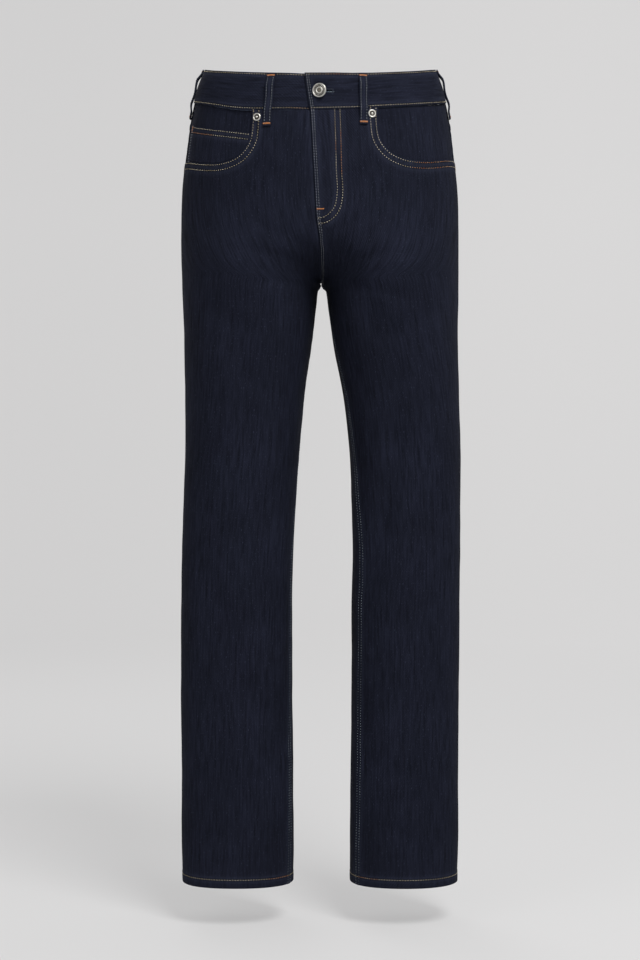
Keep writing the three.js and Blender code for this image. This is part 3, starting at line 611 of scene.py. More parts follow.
# %% Thread
def thread_material(name, pale, dusty, orange):
    """Twisted thread that drifts between two tones, and turns to orange by each stitch's attribute."""
    material, tree, shader = new_material(name)
    place = add(tree, "ShaderNodeTexCoord").outputs["Object"]
    turned = add(tree, "ShaderNodeAttribute", attribute_name="orange").outputs["Fac"]
    drift = ranged(tree, noise_at(tree, place, 45.0, 2.0), 0.42, 0.62)
    tone = between(tree, drift, linear(pale), linear(dusty))
    tone = between(tree, turned, tone, linear(orange))
    fuzz = ranged(tree, noise_at(tree, place, 900.0, 1.0), low=0.6, high=1.2)
    shaded = add(tree, "ShaderNodeVectorMath", {0: tone, 1: fuzz}, operation="MULTIPLY").outputs[0]
    fill(tree, shader, {"Base Color": shaded, "Roughness": 0.65, "Specular IOR Level": 0.25})
    return material


ORANGE = "a8632f"
topstitch_thread = thread_material("pale_corespun_topstitch_thread", "c8bda6", "a19373", ORANGE)
grey_thread = thread_material("grey_blue_topstitch_thread", "8e929b", "6b707b", ORANGE)
tonal_thread = thread_material("tonal_inseam_thread", "7b858f", "4a525e", ORANGE)
buttonhole_thread = thread_material("tonal_buttonhole_thread", "1c2130", "262c3b", ORANGE)
frayed_weft = thread_material("frayed_white_weft", "9fb0bd", "8792a3", ORANGE)
THREADS = {"pale": topstitch_thread, "grey": grey_thread, "tonal": tonal_thread}

# %% [markdown]
# The button and rivets are stamped brass with a satin nickel plate: bright on the raised rims, and dark in
# the hollows, by an antique wash and by painted shade. A metal's colour is its reflection, so it is metallic
# and keeps the usual index of refraction. Fine noise breaks up the gloss as handling does.

# %% Metals and the zip's tape
def metal(name, colour, roughness):
    material, tree, shader = new_material(name)
    place = add(tree, "ShaderNodeTexCoord").outputs["Object"]
    grain = noise_at(tree, place, 1400.0, 3.0)
    gloss = ranged(tree, grain, low=roughness - 0.08, high=roughness + 0.14)
    bump = add(tree, "ShaderNodeBump", {"Strength": 0.2, "Distance": 0.05 * MM, "Height": grain})
    fill(tree, shader, {"Base Color": linear(colour), "Metallic": 1, "Roughness": gloss,
                        "Normal": bump.outputs[0]})
    return material


def zip_tape_material():
    """Woven polyester tape: a fine herringbone that catches a little light."""
    material, tree, shader = new_material("woven_polyester_tape")
    place = add(tree, "ShaderNodeTexCoord").outputs["Object"]
    ribs = add(tree, "ShaderNodeTexWave", {"Vector": place, "Scale": WAVE_PERIOD / (1.2 * MM)}).outputs["Fac"]
    tone = between(tree, ribs, linear("14161e"), linear("242733"))
    fill(tree, shader, {"Base Color": tone, "Roughness": 0.75})
    return material


satin_nickel = metal("satin_nickel_plate", "c2c0ba", 0.32)
# The dark nickel of the hollows, on the shank, the button's band and the rivets' dimples, is an antique wash
# and painted shade.
hollow_shade_nickel = metal("antique_nickel_and_painted_shade", "4b4843", 0.5)
# The tack's head is a dull nickel, darkened as painted shade in the hollow that it lies in.
dull_shaded_nickel = metal("dull_tack_nickel_and_painted_shade", "77736a", 0.6)
zip_tape = zip_tape_material()

# %% [markdown]
# ## Making a piece of cloth
# A piece starts as a flat grid. Its place function says where each point of the grid lies on the
# garment. Then the rows of stitches draw the points in a little and pucker the cloth beside them, and
# the bands lift it. A Solidify modifier gives the cloth its thickness on the inside, and a Bevel rounds
# the cut edges. The map of the grain is measured along the grid, so the weave keeps its size.

# %% Stitched relief
ROW_DEEP, ROW_WIDE, PUCKER, PUCKER_LONG, PUCKER_REACH = 0.32, 2.0, 0.3, 5.5, 8.5
ROW_STEP, SEAM_REACH = 1.5, 4


def tree_of(points):
    """A tree that finds the nearest of some points."""
    tree = KDTree(len(points))
    for n, point in enumerate(points):
        tree.insert(point, n)
    tree.balance()
    return tree


def relief(points, details):
    """How far stitching and bands lift each point, and how close each is to a seam, from 0 to 1."""
    lift, seam = np.zeros(len(points)), np.zeros(len(points))
    rows = [spaced(row, ROW_STEP) for row in details["rows"] + details["near"]]
    if rows:
        marks = [(number, n * ROW_STEP) for number, row in enumerate(rows) for n in range(len(row))]
        tree = tree_of(np.concatenate(rows))
        for n, point in enumerate(points):
            _, nearest, away = tree.find(point)
            number, along = marks[nearest]
            wave = noise.noise((along / PUCKER_LONG, number * 7.3, 0.5))
            lift[n] += PUCKER * wave * math.exp(-((away / PUCKER_REACH) ** 2))
            lift[n] -= ROW_DEEP * math.exp(-((away / ROW_WIDE) ** 2))
            seam[n] = math.exp(-away / SEAM_REACH)
    for line, half, height in details["bands"]:
        tree = tree_of(spaced(line, ROW_STEP))
        away = np.array([tree.find(point)[2] for point in points])
        lift += height * (1 - smoothstep(half - 0.8, half + 0.5, away))
    return lift, seam


# %% Cutting a piece along a curve
def within(outline, x, z):
    """Whether points lie inside a closed outline: a ray from them crosses it an odd number of times."""
    inside = np.zeros(np.shape(x), dtype=bool)
    for (x0, z0), (x1, z1) in zip(outline, outline[1:] + outline[:1]):
        if z0 != z1:
            crossed = (z0 > z) != (z1 > z)
            inside ^= crossed & (x < x0 + (z - z0) * (x1 - x0) / (z1 - z0))
    return inside


def cut_away(mesh, flat, removed):
    """Moves the grid's nearest points onto the edge of a region and deletes the faces in the region."""
    mesh.verts.index_update()
    verts = list(mesh.verts)
    gone = removed(*flat.T)
    edges = np.array([[v.index for v in edge.verts] for edge in mesh.edges])
    first, second = edges[gone[edges[:, 0]] != gone[edges[:, 1]]].T
    low, high = np.zeros(len(first)), np.ones(len(first))
    for _ in range(12):
        middle = (low + high) / 2
        same = removed(*(flat[first] + (flat[second] - flat[first]) * middle[:, None]).T) == gone[first]
        low, high = np.where(same, middle, low), np.where(same, high, middle)
    crossing = flat[first] + (flat[second] - flat[first]) * low[:, None]
    nearest = np.where(low < 0.5, first, second)
    for n in np.argsort(-np.minimum(low, 1 - low)):
        flat[nearest[n]] = crossing[n]
    on_edge = np.zeros(len(flat), dtype=bool)
    on_edge[nearest] = True
    bmesh.ops.connect_verts(mesh, verts=[verts[n] for n in np.flatnonzero(on_edge)])
    doomed = []
    for face in mesh.faces:
        corners = [v.index for v in face.verts]
        loose = [n for n in corners if not on_edge[n]]
        if gone[loose[0]] if loose else removed(*flat[corners].mean(axis=0)[:, None])[0]:
            doomed.append(face)
    bmesh.ops.delete(mesh, geom=doomed, context="FACES")
    return np.array([flat[n] for n, v in enumerate(verts) if v.is_valid])


# %% A piece of cloth from a grid
def grid_points(across, up, place):
    u, v = np.meshgrid(np.linspace(0, 1, across + 1), np.linspace(0, 1, up + 1))
    return place(u.ravel(), v.ravel())[0].reshape(up + 1, across + 1, 3)


def at_share(values, u, v):
    """Reads a grid of values between its points."""
    column = np.clip(u, 0, 1) * (values.shape[1] - 1)
    row = np.clip(v, 0, 1) * (values.shape[0] - 1)
    c = np.minimum(column.astype(int), values.shape[1] - 2)
    r = np.minimum(row.astype(int), values.shape[0] - 2)
    low = lerp(values[r, c], values[r, c + 1], column - c)
    return lerp(low, lerp(values[r + 1, c], values[r + 1, c + 1], column - c), row - r)


def new_object(mesh, name, *materials):
    """Turns a bmesh into a smooth object of the scene."""
    for face in mesh.faces:
        face.smooth = True
    data = bpy.data.meshes.new(name)
    mesh.to_mesh(data)
    mesh.free()
    for material in materials:
        data.materials.append(material)
    made = bpy.data.objects.new(name, data)
    bpy.context.scene.collection.objects.link(made)
    return made


def thin_shell(piece_object, thick, round_edge, group=""):
    solid = piece_object.modifiers.new("thickness", "SOLIDIFY")
    solid.thickness, solid.offset, solid.material_offset = thick * MM, -1, 1
    solid.vertex_group = group
    edge = piece_object.modifiers.new("rounded edges", "BEVEL")
    edge.width, edge.segments, edge.limit_method = round_edge * MM, 2, "ANGLE"
    edge.angle_limit = math.radians(55)


def cloth(name, across, up, place, thick, removed=None, along="up", round_edge=0.4, hem=0.0, folded=False):
    mesh = bmesh.new()
    bmesh.ops.create_grid(mesh, x_segments=across, y_segments=up, size=0.5)
    flat = np.array([v.co.xy for v in mesh.verts]) + 0.5
    regular = grid_points(across, up, place)
    if removed:
        flat = cut_away(mesh, flat, removed)
    u, v = flat.T
    points, normals = place(u, v)
    lift, seam = relief(points, piece(name))
    points = (points + normals * lift[:, None]) * MM
    for vert, point in zip(mesh.verts, points):
        vert.co = point
    mesh.normal_update()
    facing = sum(face.normal.dot(Vector(normals[face.verts[0].index])) for face in mesh.faces)
    if facing < 0:
        bmesh.ops.reverse_faces(mesh, faces=mesh.faces[:])

    wide = np.cumsum(np.pad(np.linalg.norm(np.diff(regular, axis=1), axis=2), ((0, 0), (1, 0))), axis=1)
    long = np.cumsum(np.pad(np.linalg.norm(np.diff(regular, axis=0), axis=2), ((1, 0), (0, 0))), axis=0)
    wide -= wide[:, across // 2][:, None]
    sizes = (np.ptp(wide, axis=1).max() * MM, long[-1].max() * MM)
    grain = np.stack([at_share(wide, u, v), at_share(long, u, v)], axis=1) * MM
    if along == "across":
        grain = grain[:, ::-1]
    cloth_map = mesh.loops.layers.uv.new("Cloth")
    closeness = mesh.verts.layers.float.new("seam")
    mesh.verts.index_update()
    for vert in mesh.verts:
        vert[closeness] = seam[vert.index]
    for face in mesh.faces:
        for loop in face.loops:
            loop[cloth_map].uv = grain[loop.vert.index]
    piece(name)["tree"] = BVHTree.FromBMesh(mesh)
    area = sum(face.calc_area() for face in mesh.faces)
    if folded:
        sizes = (sizes[0] + thick * MM, sizes[1])
        area = sizes[0] * sizes[1]

    made = new_object(mesh, f"{name}_cloth", dark_rinse_denim, denim_back)
    if hem:
        doubled = made.vertex_groups.new(name="doubled")
        weights = np.where(points[:, 2] < HEM_TOP_Z * MM, 1, thick / (thick + hem))
        for weight in np.unique(weights):
            doubled.add([int(n) for n in np.flatnonzero(weights == weight)], weight, "REPLACE")
    thin_shell(made, thick + hem, round_edge, "doubled" if hem else "")
    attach(made, "root")
    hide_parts(name)
    print(f"{name}: {sizes[0] / MM:.0f} by {sizes[1] / MM:.0f} mm, {area * 1e4:.0f} square cm")

# %% [markdown]
# ## Fronts and backs
# Each leg is a front and a back joined at the inseam and the side seam. The grid's columns run up the
# leg and stand closer together near both seams, where the lapped strips need finer points, and its rows
# stand closer at the hem. The wearer's left front carries the fly, which is double and stands out, and
# the right front runs on under it.

# %% Fronts
CLOTH, THIN_CLOTH = 1.4, 1.2
CENTRE_SHIFT = 0.2
HEM_PROUD, HEM_EXTRA = 0.5, 1.2
FLY_PROUD, FLY_WIDE, FLY_BOTTOM_Z, FLY_CURVE_WIDE, FLY_CURVE_TALL = 1.1, 25, -174, 16, 22
UNDER, UNDER_DEEP = 4, 1.75  # how far the right pieces run on under the left ones, and how deep
UNDER_FROM_Z = (CROTCH_Z + 4, CROTCH_Z + 30)
PANEL_ACROSS, PANEL_UP = 76, 320
FINER_ACROSS = ((0, 0.12, 0.88, 1), (0, 0.058, 0.942, 1))  # shares of the columns, and of the width
FINER_UP = ((0, 0.03, 1), (0, 0.015, 1))


def seam_angle(z, front):
    """Half a seam's gap as an angle at the side seam or inseam."""
    return SEAM_GAP / 2 / half_loop(front, z)[3]


def underlap(side, z):
    """How far a piece runs on under its neighbour: only the right ones do, and only above the crotch."""
    return UNDER * smoothstep(*UNDER_FROM_Z, z) * (side < 0)


def parted(side, own_side, front, angle, z, lift):
    """Points and normals of a right or left piece, moved off the centre by half the gap of its seam."""
    points, normals = on_cloth(own_side, front, angle, z, lift)
    return points + np.array([side * CENTRE_SHIFT, 0, 0]), normals


def front_edge(side, z):
    """The angle from the centre line at which a front begins, at the fly's edge or at its inseam."""
    at_fly = side * angle_at(fly_edge_x(z) + underlap(side, z), z)
    return np.where(z > CROTCH_Z, at_fly, inseam_turn(side, z) + seam_angle(z, True))


def front_points(side):
    waist_place = front_edge(side, np.array([float(FLY_TOP_Z)]))[0]

    def on_grid(u, v):
        share = np.interp(u, *FINER_ACROSS)
        place = side * lerp(waist_place, QUARTER, share) / QUARTER
        z = lerp(HEM_Z, waist_seam(np.clip(place, -1, 1)) - SEAM_GAP, np.interp(v, *FINER_UP))
        start = half_loop(True, z)[0]
        angle = lerp(front_edge(side, z), QUARTER - start - seam_angle(z, True), share)
        return np.where(angle < 0, -side, side), np.abs(angle) + start, z

    def place(u, v):
        own_side, angle, z = on_grid(u, v)
        lift = HEM_PROUD * (z < HEM_TOP_Z)
        from_edge = unfolded(own_side, True, angle, z)[:, 0] - fly_edge_x(z)
        if side > 0:
            rounding = FLY_CURVE_WIDE * np.clip((FLY_BOTTOM_Z - z) / FLY_CURVE_TALL + 1, 0, 1) ** 2
            flat_part = smoothstep(FLY_WIDE + 4 - rounding, FLY_WIDE - rounding, from_edge)
            lift = lift + FLY_PROUD * flat_part * smoothstep(FLY_BOTTOM_Z - 4, FLY_BOTTOM_Z, z)
        else:
            lift = lift - UNDER_DEEP * smoothstep(-1.6, -0.2, from_edge) * (z > CROTCH_Z)
        return parted(side, own_side, True, angle, z, lift)

    def in_mouth(u, v):
        own_side, angle, z = on_grid(u, v)
        x = unfolded(own_side, True, angle, z)[:, 0]
        return within(mouth_outlines[HANDS[side]], x, z)

    return place, in_mouth


for hand, side in SIDES.items():
    place, in_mouth = front_points(side)
    cloth(f"front_{hand}", PANEL_ACROSS, PANEL_UP, place, CLOTH, in_mouth, hem=HEM_EXTRA)


# %% Backs and yokes
YOKE_REACH = 100  # about how far a yoke's middle is from the waist's axis: it turns lengths into angles


def under_left(own_side, side, angle, z):
    """How deep a right piece lies where it nears and passes the centre back, under the left one."""
    past = unfolded(own_side, False, angle, z)[:, 0]
    return UNDER_DEEP * smoothstep(-1.8, -0.1, past) * (z > CROTCH_Z) * (side < 0)


def back_points(side):
    def place(u, v):
        share = np.interp(u, *FINER_ACROSS)
        z = lerp(HEM_Z, yoke_seam(share * QUARTER) - SEAM_GAP, np.interp(v, *FINER_UP))
        start, half_width = half_loop(False, z)[:2]
        gap = seam_angle(z, False)
        first = start - inseam_turn(side, z) + gap * (z <= CROTCH_Z) - underlap(side, z) / half_width
        angle = lerp(first, QUARTER - gap, share)
        crossed = (angle < start) & (z > CROTCH_Z)
        own_side = np.where(crossed, -side, side)
        angle = np.where(crossed, 2 * start - angle, angle)
        lift = HEM_PROUD * (z < HEM_TOP_Z) - under_left(own_side, side, angle, z)
        return parted(side, own_side, False, angle, z, lift)

    return place


def yoke_points(side):
    def place(u, v):
        share = np.interp(u, (0, 0.15, 1), (0, 0.1, 1))
        first, last = -UNDER / YOKE_REACH * (side < 0), QUARTER - SEAM_GAP / 2 / YOKE_REACH
        from_middle = lerp(first, last, share)
        own_side, angle = np.where(from_middle < 0, -side, side), np.abs(from_middle)
        z = lerp(yoke_seam(angle), waist_seam(2 - angle / QUARTER) - SEAM_GAP, v)
        return parted(side, own_side, False, angle, z, -under_left(own_side, side, angle, z))

    return place


for hand, side in SIDES.items():
    cloth(f"back_{hand}", PANEL_ACROSS, PANEL_UP, back_points(side), CLOTH, hem=HEM_EXTRA)
    cloth(f"yoke_{hand}", 90, 28, yoke_points(side), CLOTH)

# %% [markdown]
# ## Pockets
# Behind each pocket mouth lies a facing of the same denim, and the wearer's right one carries the small
# coin pocket, which runs on under the front. The back pockets are five-sided patches with a folded top.
# They are set on the backs and sewn with two plain rows, without any ornament.

# %% Facings and the coin pocket
FACING_UNDERLAP, FACING_BOTTOM_Z, FACING_DEPTH = 12, -120, 2.1
FACING_X = {hand: abs(outline[0][0]) - FACING_UNDERLAP for hand, outline in MOUTHS.items()}
COIN_SIDE_Z, COIN_MOUTH_Z, COIN_BOTTOM_Z = -45, -77, -114
COIN_SHARES = (0.02, 0.75)  # where the coin pocket begins and ends across its facing
COIN_STAND = THIN_CLOTH + 0.5
COIN_ROWS = ((1.6, [(0.85, 1)]), (7.2, [(0.45, 1)]))  # how far down each row is, and its orange run


def on_facing(side, share, z, lift):
    """A point of a facing by its share of the way from its front edge to the side seam."""
    last = QUARTER - half_loop(True, z)[0] - seam_angle(z, True)
    return from_centre(side * lerp(angle_at(FACING_X[HANDS[side]], z), last, share), z, lift=lift)


def facing_points(side):
    first = angle_at(FACING_X[HANDS[side]], FLY_TOP_Z) / QUARTER

    def place(u, v):
        z = lerp(FACING_BOTTOM_Z, waist_seam(side * lerp(first, 1, u)) - SEAM_GAP, v)
        return on_facing(side, u, z, -FACING_DEPTH)

    return place


def coin_place(u, v):
    """The share of the way across the facing and the height of the coin pocket's points."""
    share = lerp(*COIN_SHARES, u)
    return share, lerp(COIN_BOTTOM_Z, lerp(COIN_MOUTH_Z, COIN_SIDE_Z, share), v)


def coin_points(u, v):
    return on_facing(SIDES["right"], *coin_place(u, v), COIN_STAND - FACING_DEPTH)


def outside_mouth(u, v):
    share, z = coin_place(u, v)
    start = half_loop(True, z)[0]
    angle = lerp(angle_at(FACING_X["right"], z), QUARTER - start, share) + start
    x = unfolded(SIDES["right"], True, angle, z)[:, 0]
    return ~within(mouth_outlines["right"], x + 0.4, z - 0.4)


line_v = np.linspace(0.02, 1, 40)
coin_side = coin_points(np.ones(40), line_v)
coin_top = coin_points(np.linspace(0, 1, 90), np.ones(90))
for inset, orange in COIN_ROWS:
    row = beside(coin_top, inset, -UPWARDS)
    row = row[within(mouth_outlines["right"], row[:, 0] + 1, row[:, 2])]
    sewn("coin_pocket", [row], orange=orange)
sewn("coin_pocket", [beside(coin_side, away, LEFTWARDS) for away in (1.5, 4.4)], thread="grey", orange=[])
for hand, side in SIDES.items():
    cloth(f"pocket_facing_{hand}", 40, 34, facing_points(side), THIN_CLOTH)
cloth("coin_pocket", 34, 28, coin_points, THIN_CLOTH, outside_mouth)

# %% Back pockets
PATCH_TOP_Z, PATCH_CORNER_Z, PATCH_POINT_Z = -97, -209, -227
PATCH_INNER, PATCH_OUTER = (25, 34), (133, 122)  # x at the top and at the lower corners
PATCH_GAP, PATCH_BULGE = 0.5, 1.6
PATCH_ROWS, TOP_ROWS, TOP_FOLD = (1.6, 7.2), (1.8, 11), 12


def patch_place(side, u, v):
    low = lerp(PATCH_CORNER_Z, PATCH_POINT_Z, 1 - np.abs(2 * u - 1))
    z = lerp(low, PATCH_TOP_Z + 6 * u, v)
    x = lerp(lerp(*PATCH_INNER, 1 - v), lerp(*PATCH_OUTER, 1 - v), u)
    bulge = PATCH_BULGE * np.clip(np.sin(math.pi * u) * np.sin(math.pi * v), 0, 1)
    return at_x(side * x, z, False, PATCH_GAP + THIN_CLOTH + bulge)


def patch_rows(side):
    """Two rows inside the lower edges of a patch, and two across its folded top."""
    corners = [(0, 1), (0, 0), (0.5, 0), (1, 0), (1, 1)]
    middle = patch_place(side, np.array([0.5]), np.array([0.5]))[0]
    step = 0.5
    rows = []
    for inset in PATCH_ROWS:
        for (u0, v0), (u1, v1) in zip(corners, corners[1:]):
            t = np.linspace(0, 1, 70)
            line = patch_place(side, lerp(u0, u1, t), lerp(v0, v1, t))
            row = spaced(beside(line, inset, middle - line[0]), step)
            trimmed = int(inset / step * 0.9)
            first, last = trimmed * ((u0, v0) != corners[0]), trimmed * ((u1, v1) != corners[-1])
            rows.append(row[first:len(row) - last])
    t = np.linspace(0.01, 0.99, 90)
    top = patch_place(side, t, np.ones(90))
    return rows + [beside(top, inset, -UPWARDS) for inset in TOP_ROWS]


for hand, side in SIDES.items():
    top = patch_place(side, np.linspace(0, 1, 90), np.ones(90))
    fold = [(beside(top, TOP_FOLD / 2, -UPWARDS), TOP_FOLD / 2 + 0.3, FOLD_PROUD)]
    sewn(f"back_pocket_{hand}", patch_rows(side), fold, [f"back_{hand}"])
    cloth(f"back_pocket_{hand}", 44, 48, lambda u, v, side=side: patch_place(side, u, v), THIN_CLOTH)
print("pockets made")

# %% [markdown]
# ## Waistband, loops and zip
# The waistband is one doubled strip, so it is thicker than the cloth and its edges are soft folds. Its
# left end lies over its right one. The warp runs along it. The loops are narrow folded strips, sewn
# down below the waistband and at its upper edge, and they stand off it in between.

# %% Waistband
BAND_THICK, BAND_PROUD, BAND_MIDDLE_Z = 2.6, 0.8, -20.0
BAND_ACROSS, BAND_UP = 320, 34
LEFT_SIDE_U, RIGHT_SIDE_U = 0.28, 0.72  # the shares of the band's length at the two side seams
FINER_END = ((0, 0.19, 1), (0, 0.07, 1))  # shares of the columns, and of the length, at the buttonhole
BUTTON_X, BUTTON_Z, EYE_RADIUS, SLIT_HALF, SLIT_END = -0.4, -28.3, 2.9, 0.75, 14
LAP_TOP_X, LAP_LOW_X, LAP_UNDER_X, LAP_LIFT, LAP_DIP = -18, -11, 17, 1.4, 1.8


def waistband_points(u, v):
    """From the left end round the left side, the back and the right side to the right end."""
    u = np.interp(u, *FINER_END)
    left_end = angle_at(lerp(LAP_LOW_X, LAP_TOP_X, v), BAND_MIDDLE_Z) / QUARTER
    right_end = 4 + angle_at(LAP_UNDER_X, BAND_MIDDLE_Z) / QUARTER
    along = lerp(1, 3, (u - LEFT_SIDE_U) / (RIGHT_SIDE_U - LEFT_SIDE_U))
    along = np.where(u < LEFT_SIDE_U, lerp(left_end, 1, u / LEFT_SIDE_U), along)
    past_right = (u - RIGHT_SIDE_U) / (1 - RIGHT_SIDE_U)
    along = np.where(u > RIGHT_SIDE_U, lerp(3, right_end, past_right), along)
    place = np.where(along > 2, along - 4, along)
    z = lerp(waist_seam(place), waist_top(place), v)
    in_front = np.abs(place) < 1
    x = unfolded(np.sign(place), in_front, round_angle(place), z)[:, 0]
    lapping = LAP_LIFT * (1 - smoothstep(16, 40, x)) * (along < 2) * in_front
    dipping = LAP_DIP * smoothstep(-38, -14, x) * (along > 2) * in_front
    rounding = 0.5 * (np.sin(math.pi * v) - 0.7)
    return round_waist(place, z, BAND_PROUD + lapping - dipping + rounding)


band_u = np.linspace(0.002, 0.998, 900)
edge_share = 1.9 / WAISTBAND_HEIGHT
end_v = np.linspace(edge_share, 1 - edge_share, 40)
left_end = waistband_points(np.full(end_v.shape, JUST_LEFT), end_v)
for share, orange in ((edge_share, [(0.942, 0.955)]), (1 - edge_share, [(0.03, 0.056)])):
    sewn("waistband", [waistband_points(band_u, np.full(band_u.shape, share))[0]], orange=orange)
sewn("waistband", [beside(left_end, away, LEFTWARDS) for away in (1.9, 4.2)], thread="grey", orange=[])


def in_buttonhole(u, v):
    x, _, z = (waistband_points(u, v)[0] - (BUTTON_X, 0, BUTTON_Z)).T
    slit = (x > 0) & (x < SLIT_END) & (np.abs(z) < SLIT_HALF)
    return (u < FINER_END[0][1]) & (slit | (np.hypot(x, z) < EYE_RADIUS))


cloth("waistband", BAND_ACROSS, BAND_UP, waistband_points, BAND_THICK, in_buttonhole, "across", 0.95)

# %% Belt loops
LOOP_WIDE, LOOP_THICK, LOOP_BELOW, LOOP_UNDER = 9.6, 1.6, 19, 1.5
LOOP_RISE = ((0, 0.12, 0.3, 0.5, 0.76, 0.95, 1), (0.5, 0.7, 2.8, 1.8, 4.3, 1.5, 1.3))
# the middle of each loop: x at its top and bottom for the front ones, else its place round the waist
LOOPS = {"loop_front_right": (-55.3, -60.7), "loop_front_left": (48.9, 50), "loop_side_right": -0.985,
         "loop_side_left": 0.985, "loop_back": 2}


def loop_points(spot):
    def place(u, v):
        slanted = isinstance(spot, tuple)
        x = lerp(spot[1], spot[0], v) if slanted else 0
        near = angle_at(x, BAND_MIDDLE_Z) / QUARTER if slanted else np.full(u.shape, float(spot))
        z = lerp(waist_seam(near) - LOOP_BELOW, waist_top(near) - LOOP_UNDER, v)
        middle = angle_at(x, z) / QUARTER if slanted else near
        step = 0.02
        turn = np.linalg.norm(round_waist(middle - step, z)[0] - round_waist(middle, z)[0], axis=1) / step
        at = middle + (u - 0.5) * LOOP_WIDE / turn
        at = np.where(at > 2, at - 4, at)
        n = np.clip(np.searchsorted(LOOP_RISE[0], v) - 1, 0, len(LOOP_RISE[0]) - 2)
        knots, heights = np.array(LOOP_RISE)
        rise = lerp(heights[n], heights[n + 1], smoothstep(knots[n], knots[n + 1], v))
        crown = 0.25 * np.sin(math.pi * u)
        return round_waist(at, z, rise + LOOP_THICK + crown)

    return place


for name, spot in LOOPS.items():
    place = loop_points(spot)
    t = np.linspace(0.03, 0.97, 60)
    sewn(name, [place(0 * t + at, t)[0] for at in (0.17, 0.83)], thread="grey", orange=[])
    cloth(name, 10, 44, place, LOOP_THICK, round_edge=0.55, folded=True)

# %% [markdown]
# ## Stitches
# A lockstitch shows as a row of short raised threads, each sinking into the cloth at both ends. The rows
# could be a bump or a curve, but only small separate forms catch the light as thread does. Each is a
# stretched sphere of a few faces, laid on the nearest point of its cloth. The real stitches are 3.1 mm
# apart. They are drawn shorter and wider than real thread, so that they and their gaps show.

# %% One stitch and one row
PITCH, STITCH_LONG, STITCH_WIDE, STITCH_HIGH = 3.1, 1.6, 0.8, 0.6
SUNK = 0.08  # how far a stitch's middle stands off its cloth
FARTHEST = 2.0  # a stitch farther than this from its cloth hangs in the air, so it is left out
ORANGE_SIZE, RUN_END = 75, 0.02  # the length of a scattered run, and the share over which a run fades


def small_ball():
    """A ball of a few faces, one unit across, which every stitch stretches."""
    ball = bmesh.new()
    bmesh.ops.create_uvsphere(ball, u_segments=6, v_segments=4, radius=0.5)
    data = bpy.data.meshes.new("stitch")
    ball.to_mesh(data)
    ball.free()
    return data


BALL = small_ball()


def stitch(piece_name, spot, along, long, orange, wide=STITCH_WIDE):
    """One stitch, on the nearest point of a piece: the matrix that stretches the ball, and its colour."""
    point, normal, _, _ = piece(piece_name)["tree"].find_nearest(spot)
    across = normal.cross(along).normalized()
    along = across.cross(normal)
    turned = Matrix((along * long * MM, across * wide * MM, normal * STITCH_HIGH * MM)).transposed()
    return Matrix.Translation(point + normal * SUNK * MM) @ turned.to_4x4(), orange


def orange_level(share, middle, runs):
    """How orange a stitch is, from 0 to 1, by its share of the row's length and its place."""
    if runs is None:
        level = noise.noise(middle / (ORANGE_SIZE * MM)) * 2.4 - 0.35
    else:
        level = sum(smoothstep(a - RUN_END, a + RUN_END, share) * smoothstep(b + RUN_END, b - RUN_END, share)
                    for a, b in runs)
    return min(1, max(0, level * (0.75 + 0.6 * noise.noise(middle * 900))))


def stitches_of_row(piece_name, row, runs):
    made = []
    stops = spaced(row, PITCH) * MM
    for n, (here, there) in enumerate(zip(stops, stops[1:])):
        middle = Vector((here + there) / 2)
        away = piece(piece_name)["tree"].find_nearest(middle)[3]
        if away < FARTHEST * MM:
            level = orange_level(n / len(stops), middle, runs)
            uneven = 1 + 0.3 * noise.noise(middle * 700)
            along = Vector(there - here).normalized()
            made.append(stitch(piece_name, middle, along, STITCH_LONG * uneven, level))
    return made


def finished(mesh, name, material, nodes=()):
    """Turns a bmesh into a smooth piece that rides with the garment."""
    made = new_object(mesh, name, material)
    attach(made, "root")
    if nodes:
        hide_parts(*nodes)


def sew(name, stitches, material=topstitch_thread):
    """Copies the ball once for every stitch, then moves each copy's points into place."""
    mesh = bmesh.new()
    shade = mesh.verts.layers.float.new("orange")
    for _ in stitches:
        mesh.from_mesh(BALL)
    verts = iter(mesh.verts)
    for matrix, orange in stitches:
        for corner in BALL.vertices:
            vert = next(verts)
            vert.co = matrix @ corner.co
            vert[shade] = orange
    print(f"{name}: {len(stitches)} stitches")
    finished(mesh, name, material)


AREAS = {
    "fronts": ["front_right", "front_left", "coin_pocket"],
    "backs": ["back_right", "back_left", "yoke_right", "yoke_left", "back_pocket_right", "back_pocket_left"],
    "waist": ["waistband", *LOOPS],
}
for area, pieces in AREAS.items():
    for thread, material in THREADS.items():
        made = []
        for name in pieces:
            for row, (kind, runs) in zip(piece(name)["rows"], piece(name)["threads"]):
                if kind == thread:
                    made += stitches_of_row(name, row, runs)
        if made:
            sew(f"{thread}_thread_{area}", made, material)

# %% [markdown]
# A bartack holds a corner: a dozen short threads side by side over a length of a few millimetres. Here
# they stand across the tack's own length, so it reads as one dense bar.

# %% Bartacks
TACK_PITCH = 0.62
FLY_TACK_X, FLY_TACK_Z = 0.4, -162.7
# the length of each kind of tack and of its threads
LOOP_TACK, FLY_TACK, MOUTH_TACK = (LOOP_WIDE * 0.92, 2.3), (8.5, 1.9), (8, 1.9)
PATCH_TACK, COIN_TACK, BUTTONHOLE_TACK = (7.5, 1.9), (6, 2.2), (4.5, 2.4)


def tack(piece_name, middle, along, long, tall, orange=0.9):
    """A bar of threads on a piece, each tall, side by side along a direction."""
    made = []
    count = round(long / TACK_PITCH)
    along = Vector(along).normalized()
    _, normal, _, _ = piece(piece_name)["tree"].find_nearest(Vector(middle) * MM)
    upright = normal.cross(along).normalized()
    for n in range(count):
        spot = Vector(middle) * MM + along * ((n + 0.5) / count - 0.5) * long * MM
        lean = along * 0.12 * (1 if n % 2 else -1)
        made.append(stitch(piece_name, spot, (upright + lean).normalized(), tall, orange))
    return made


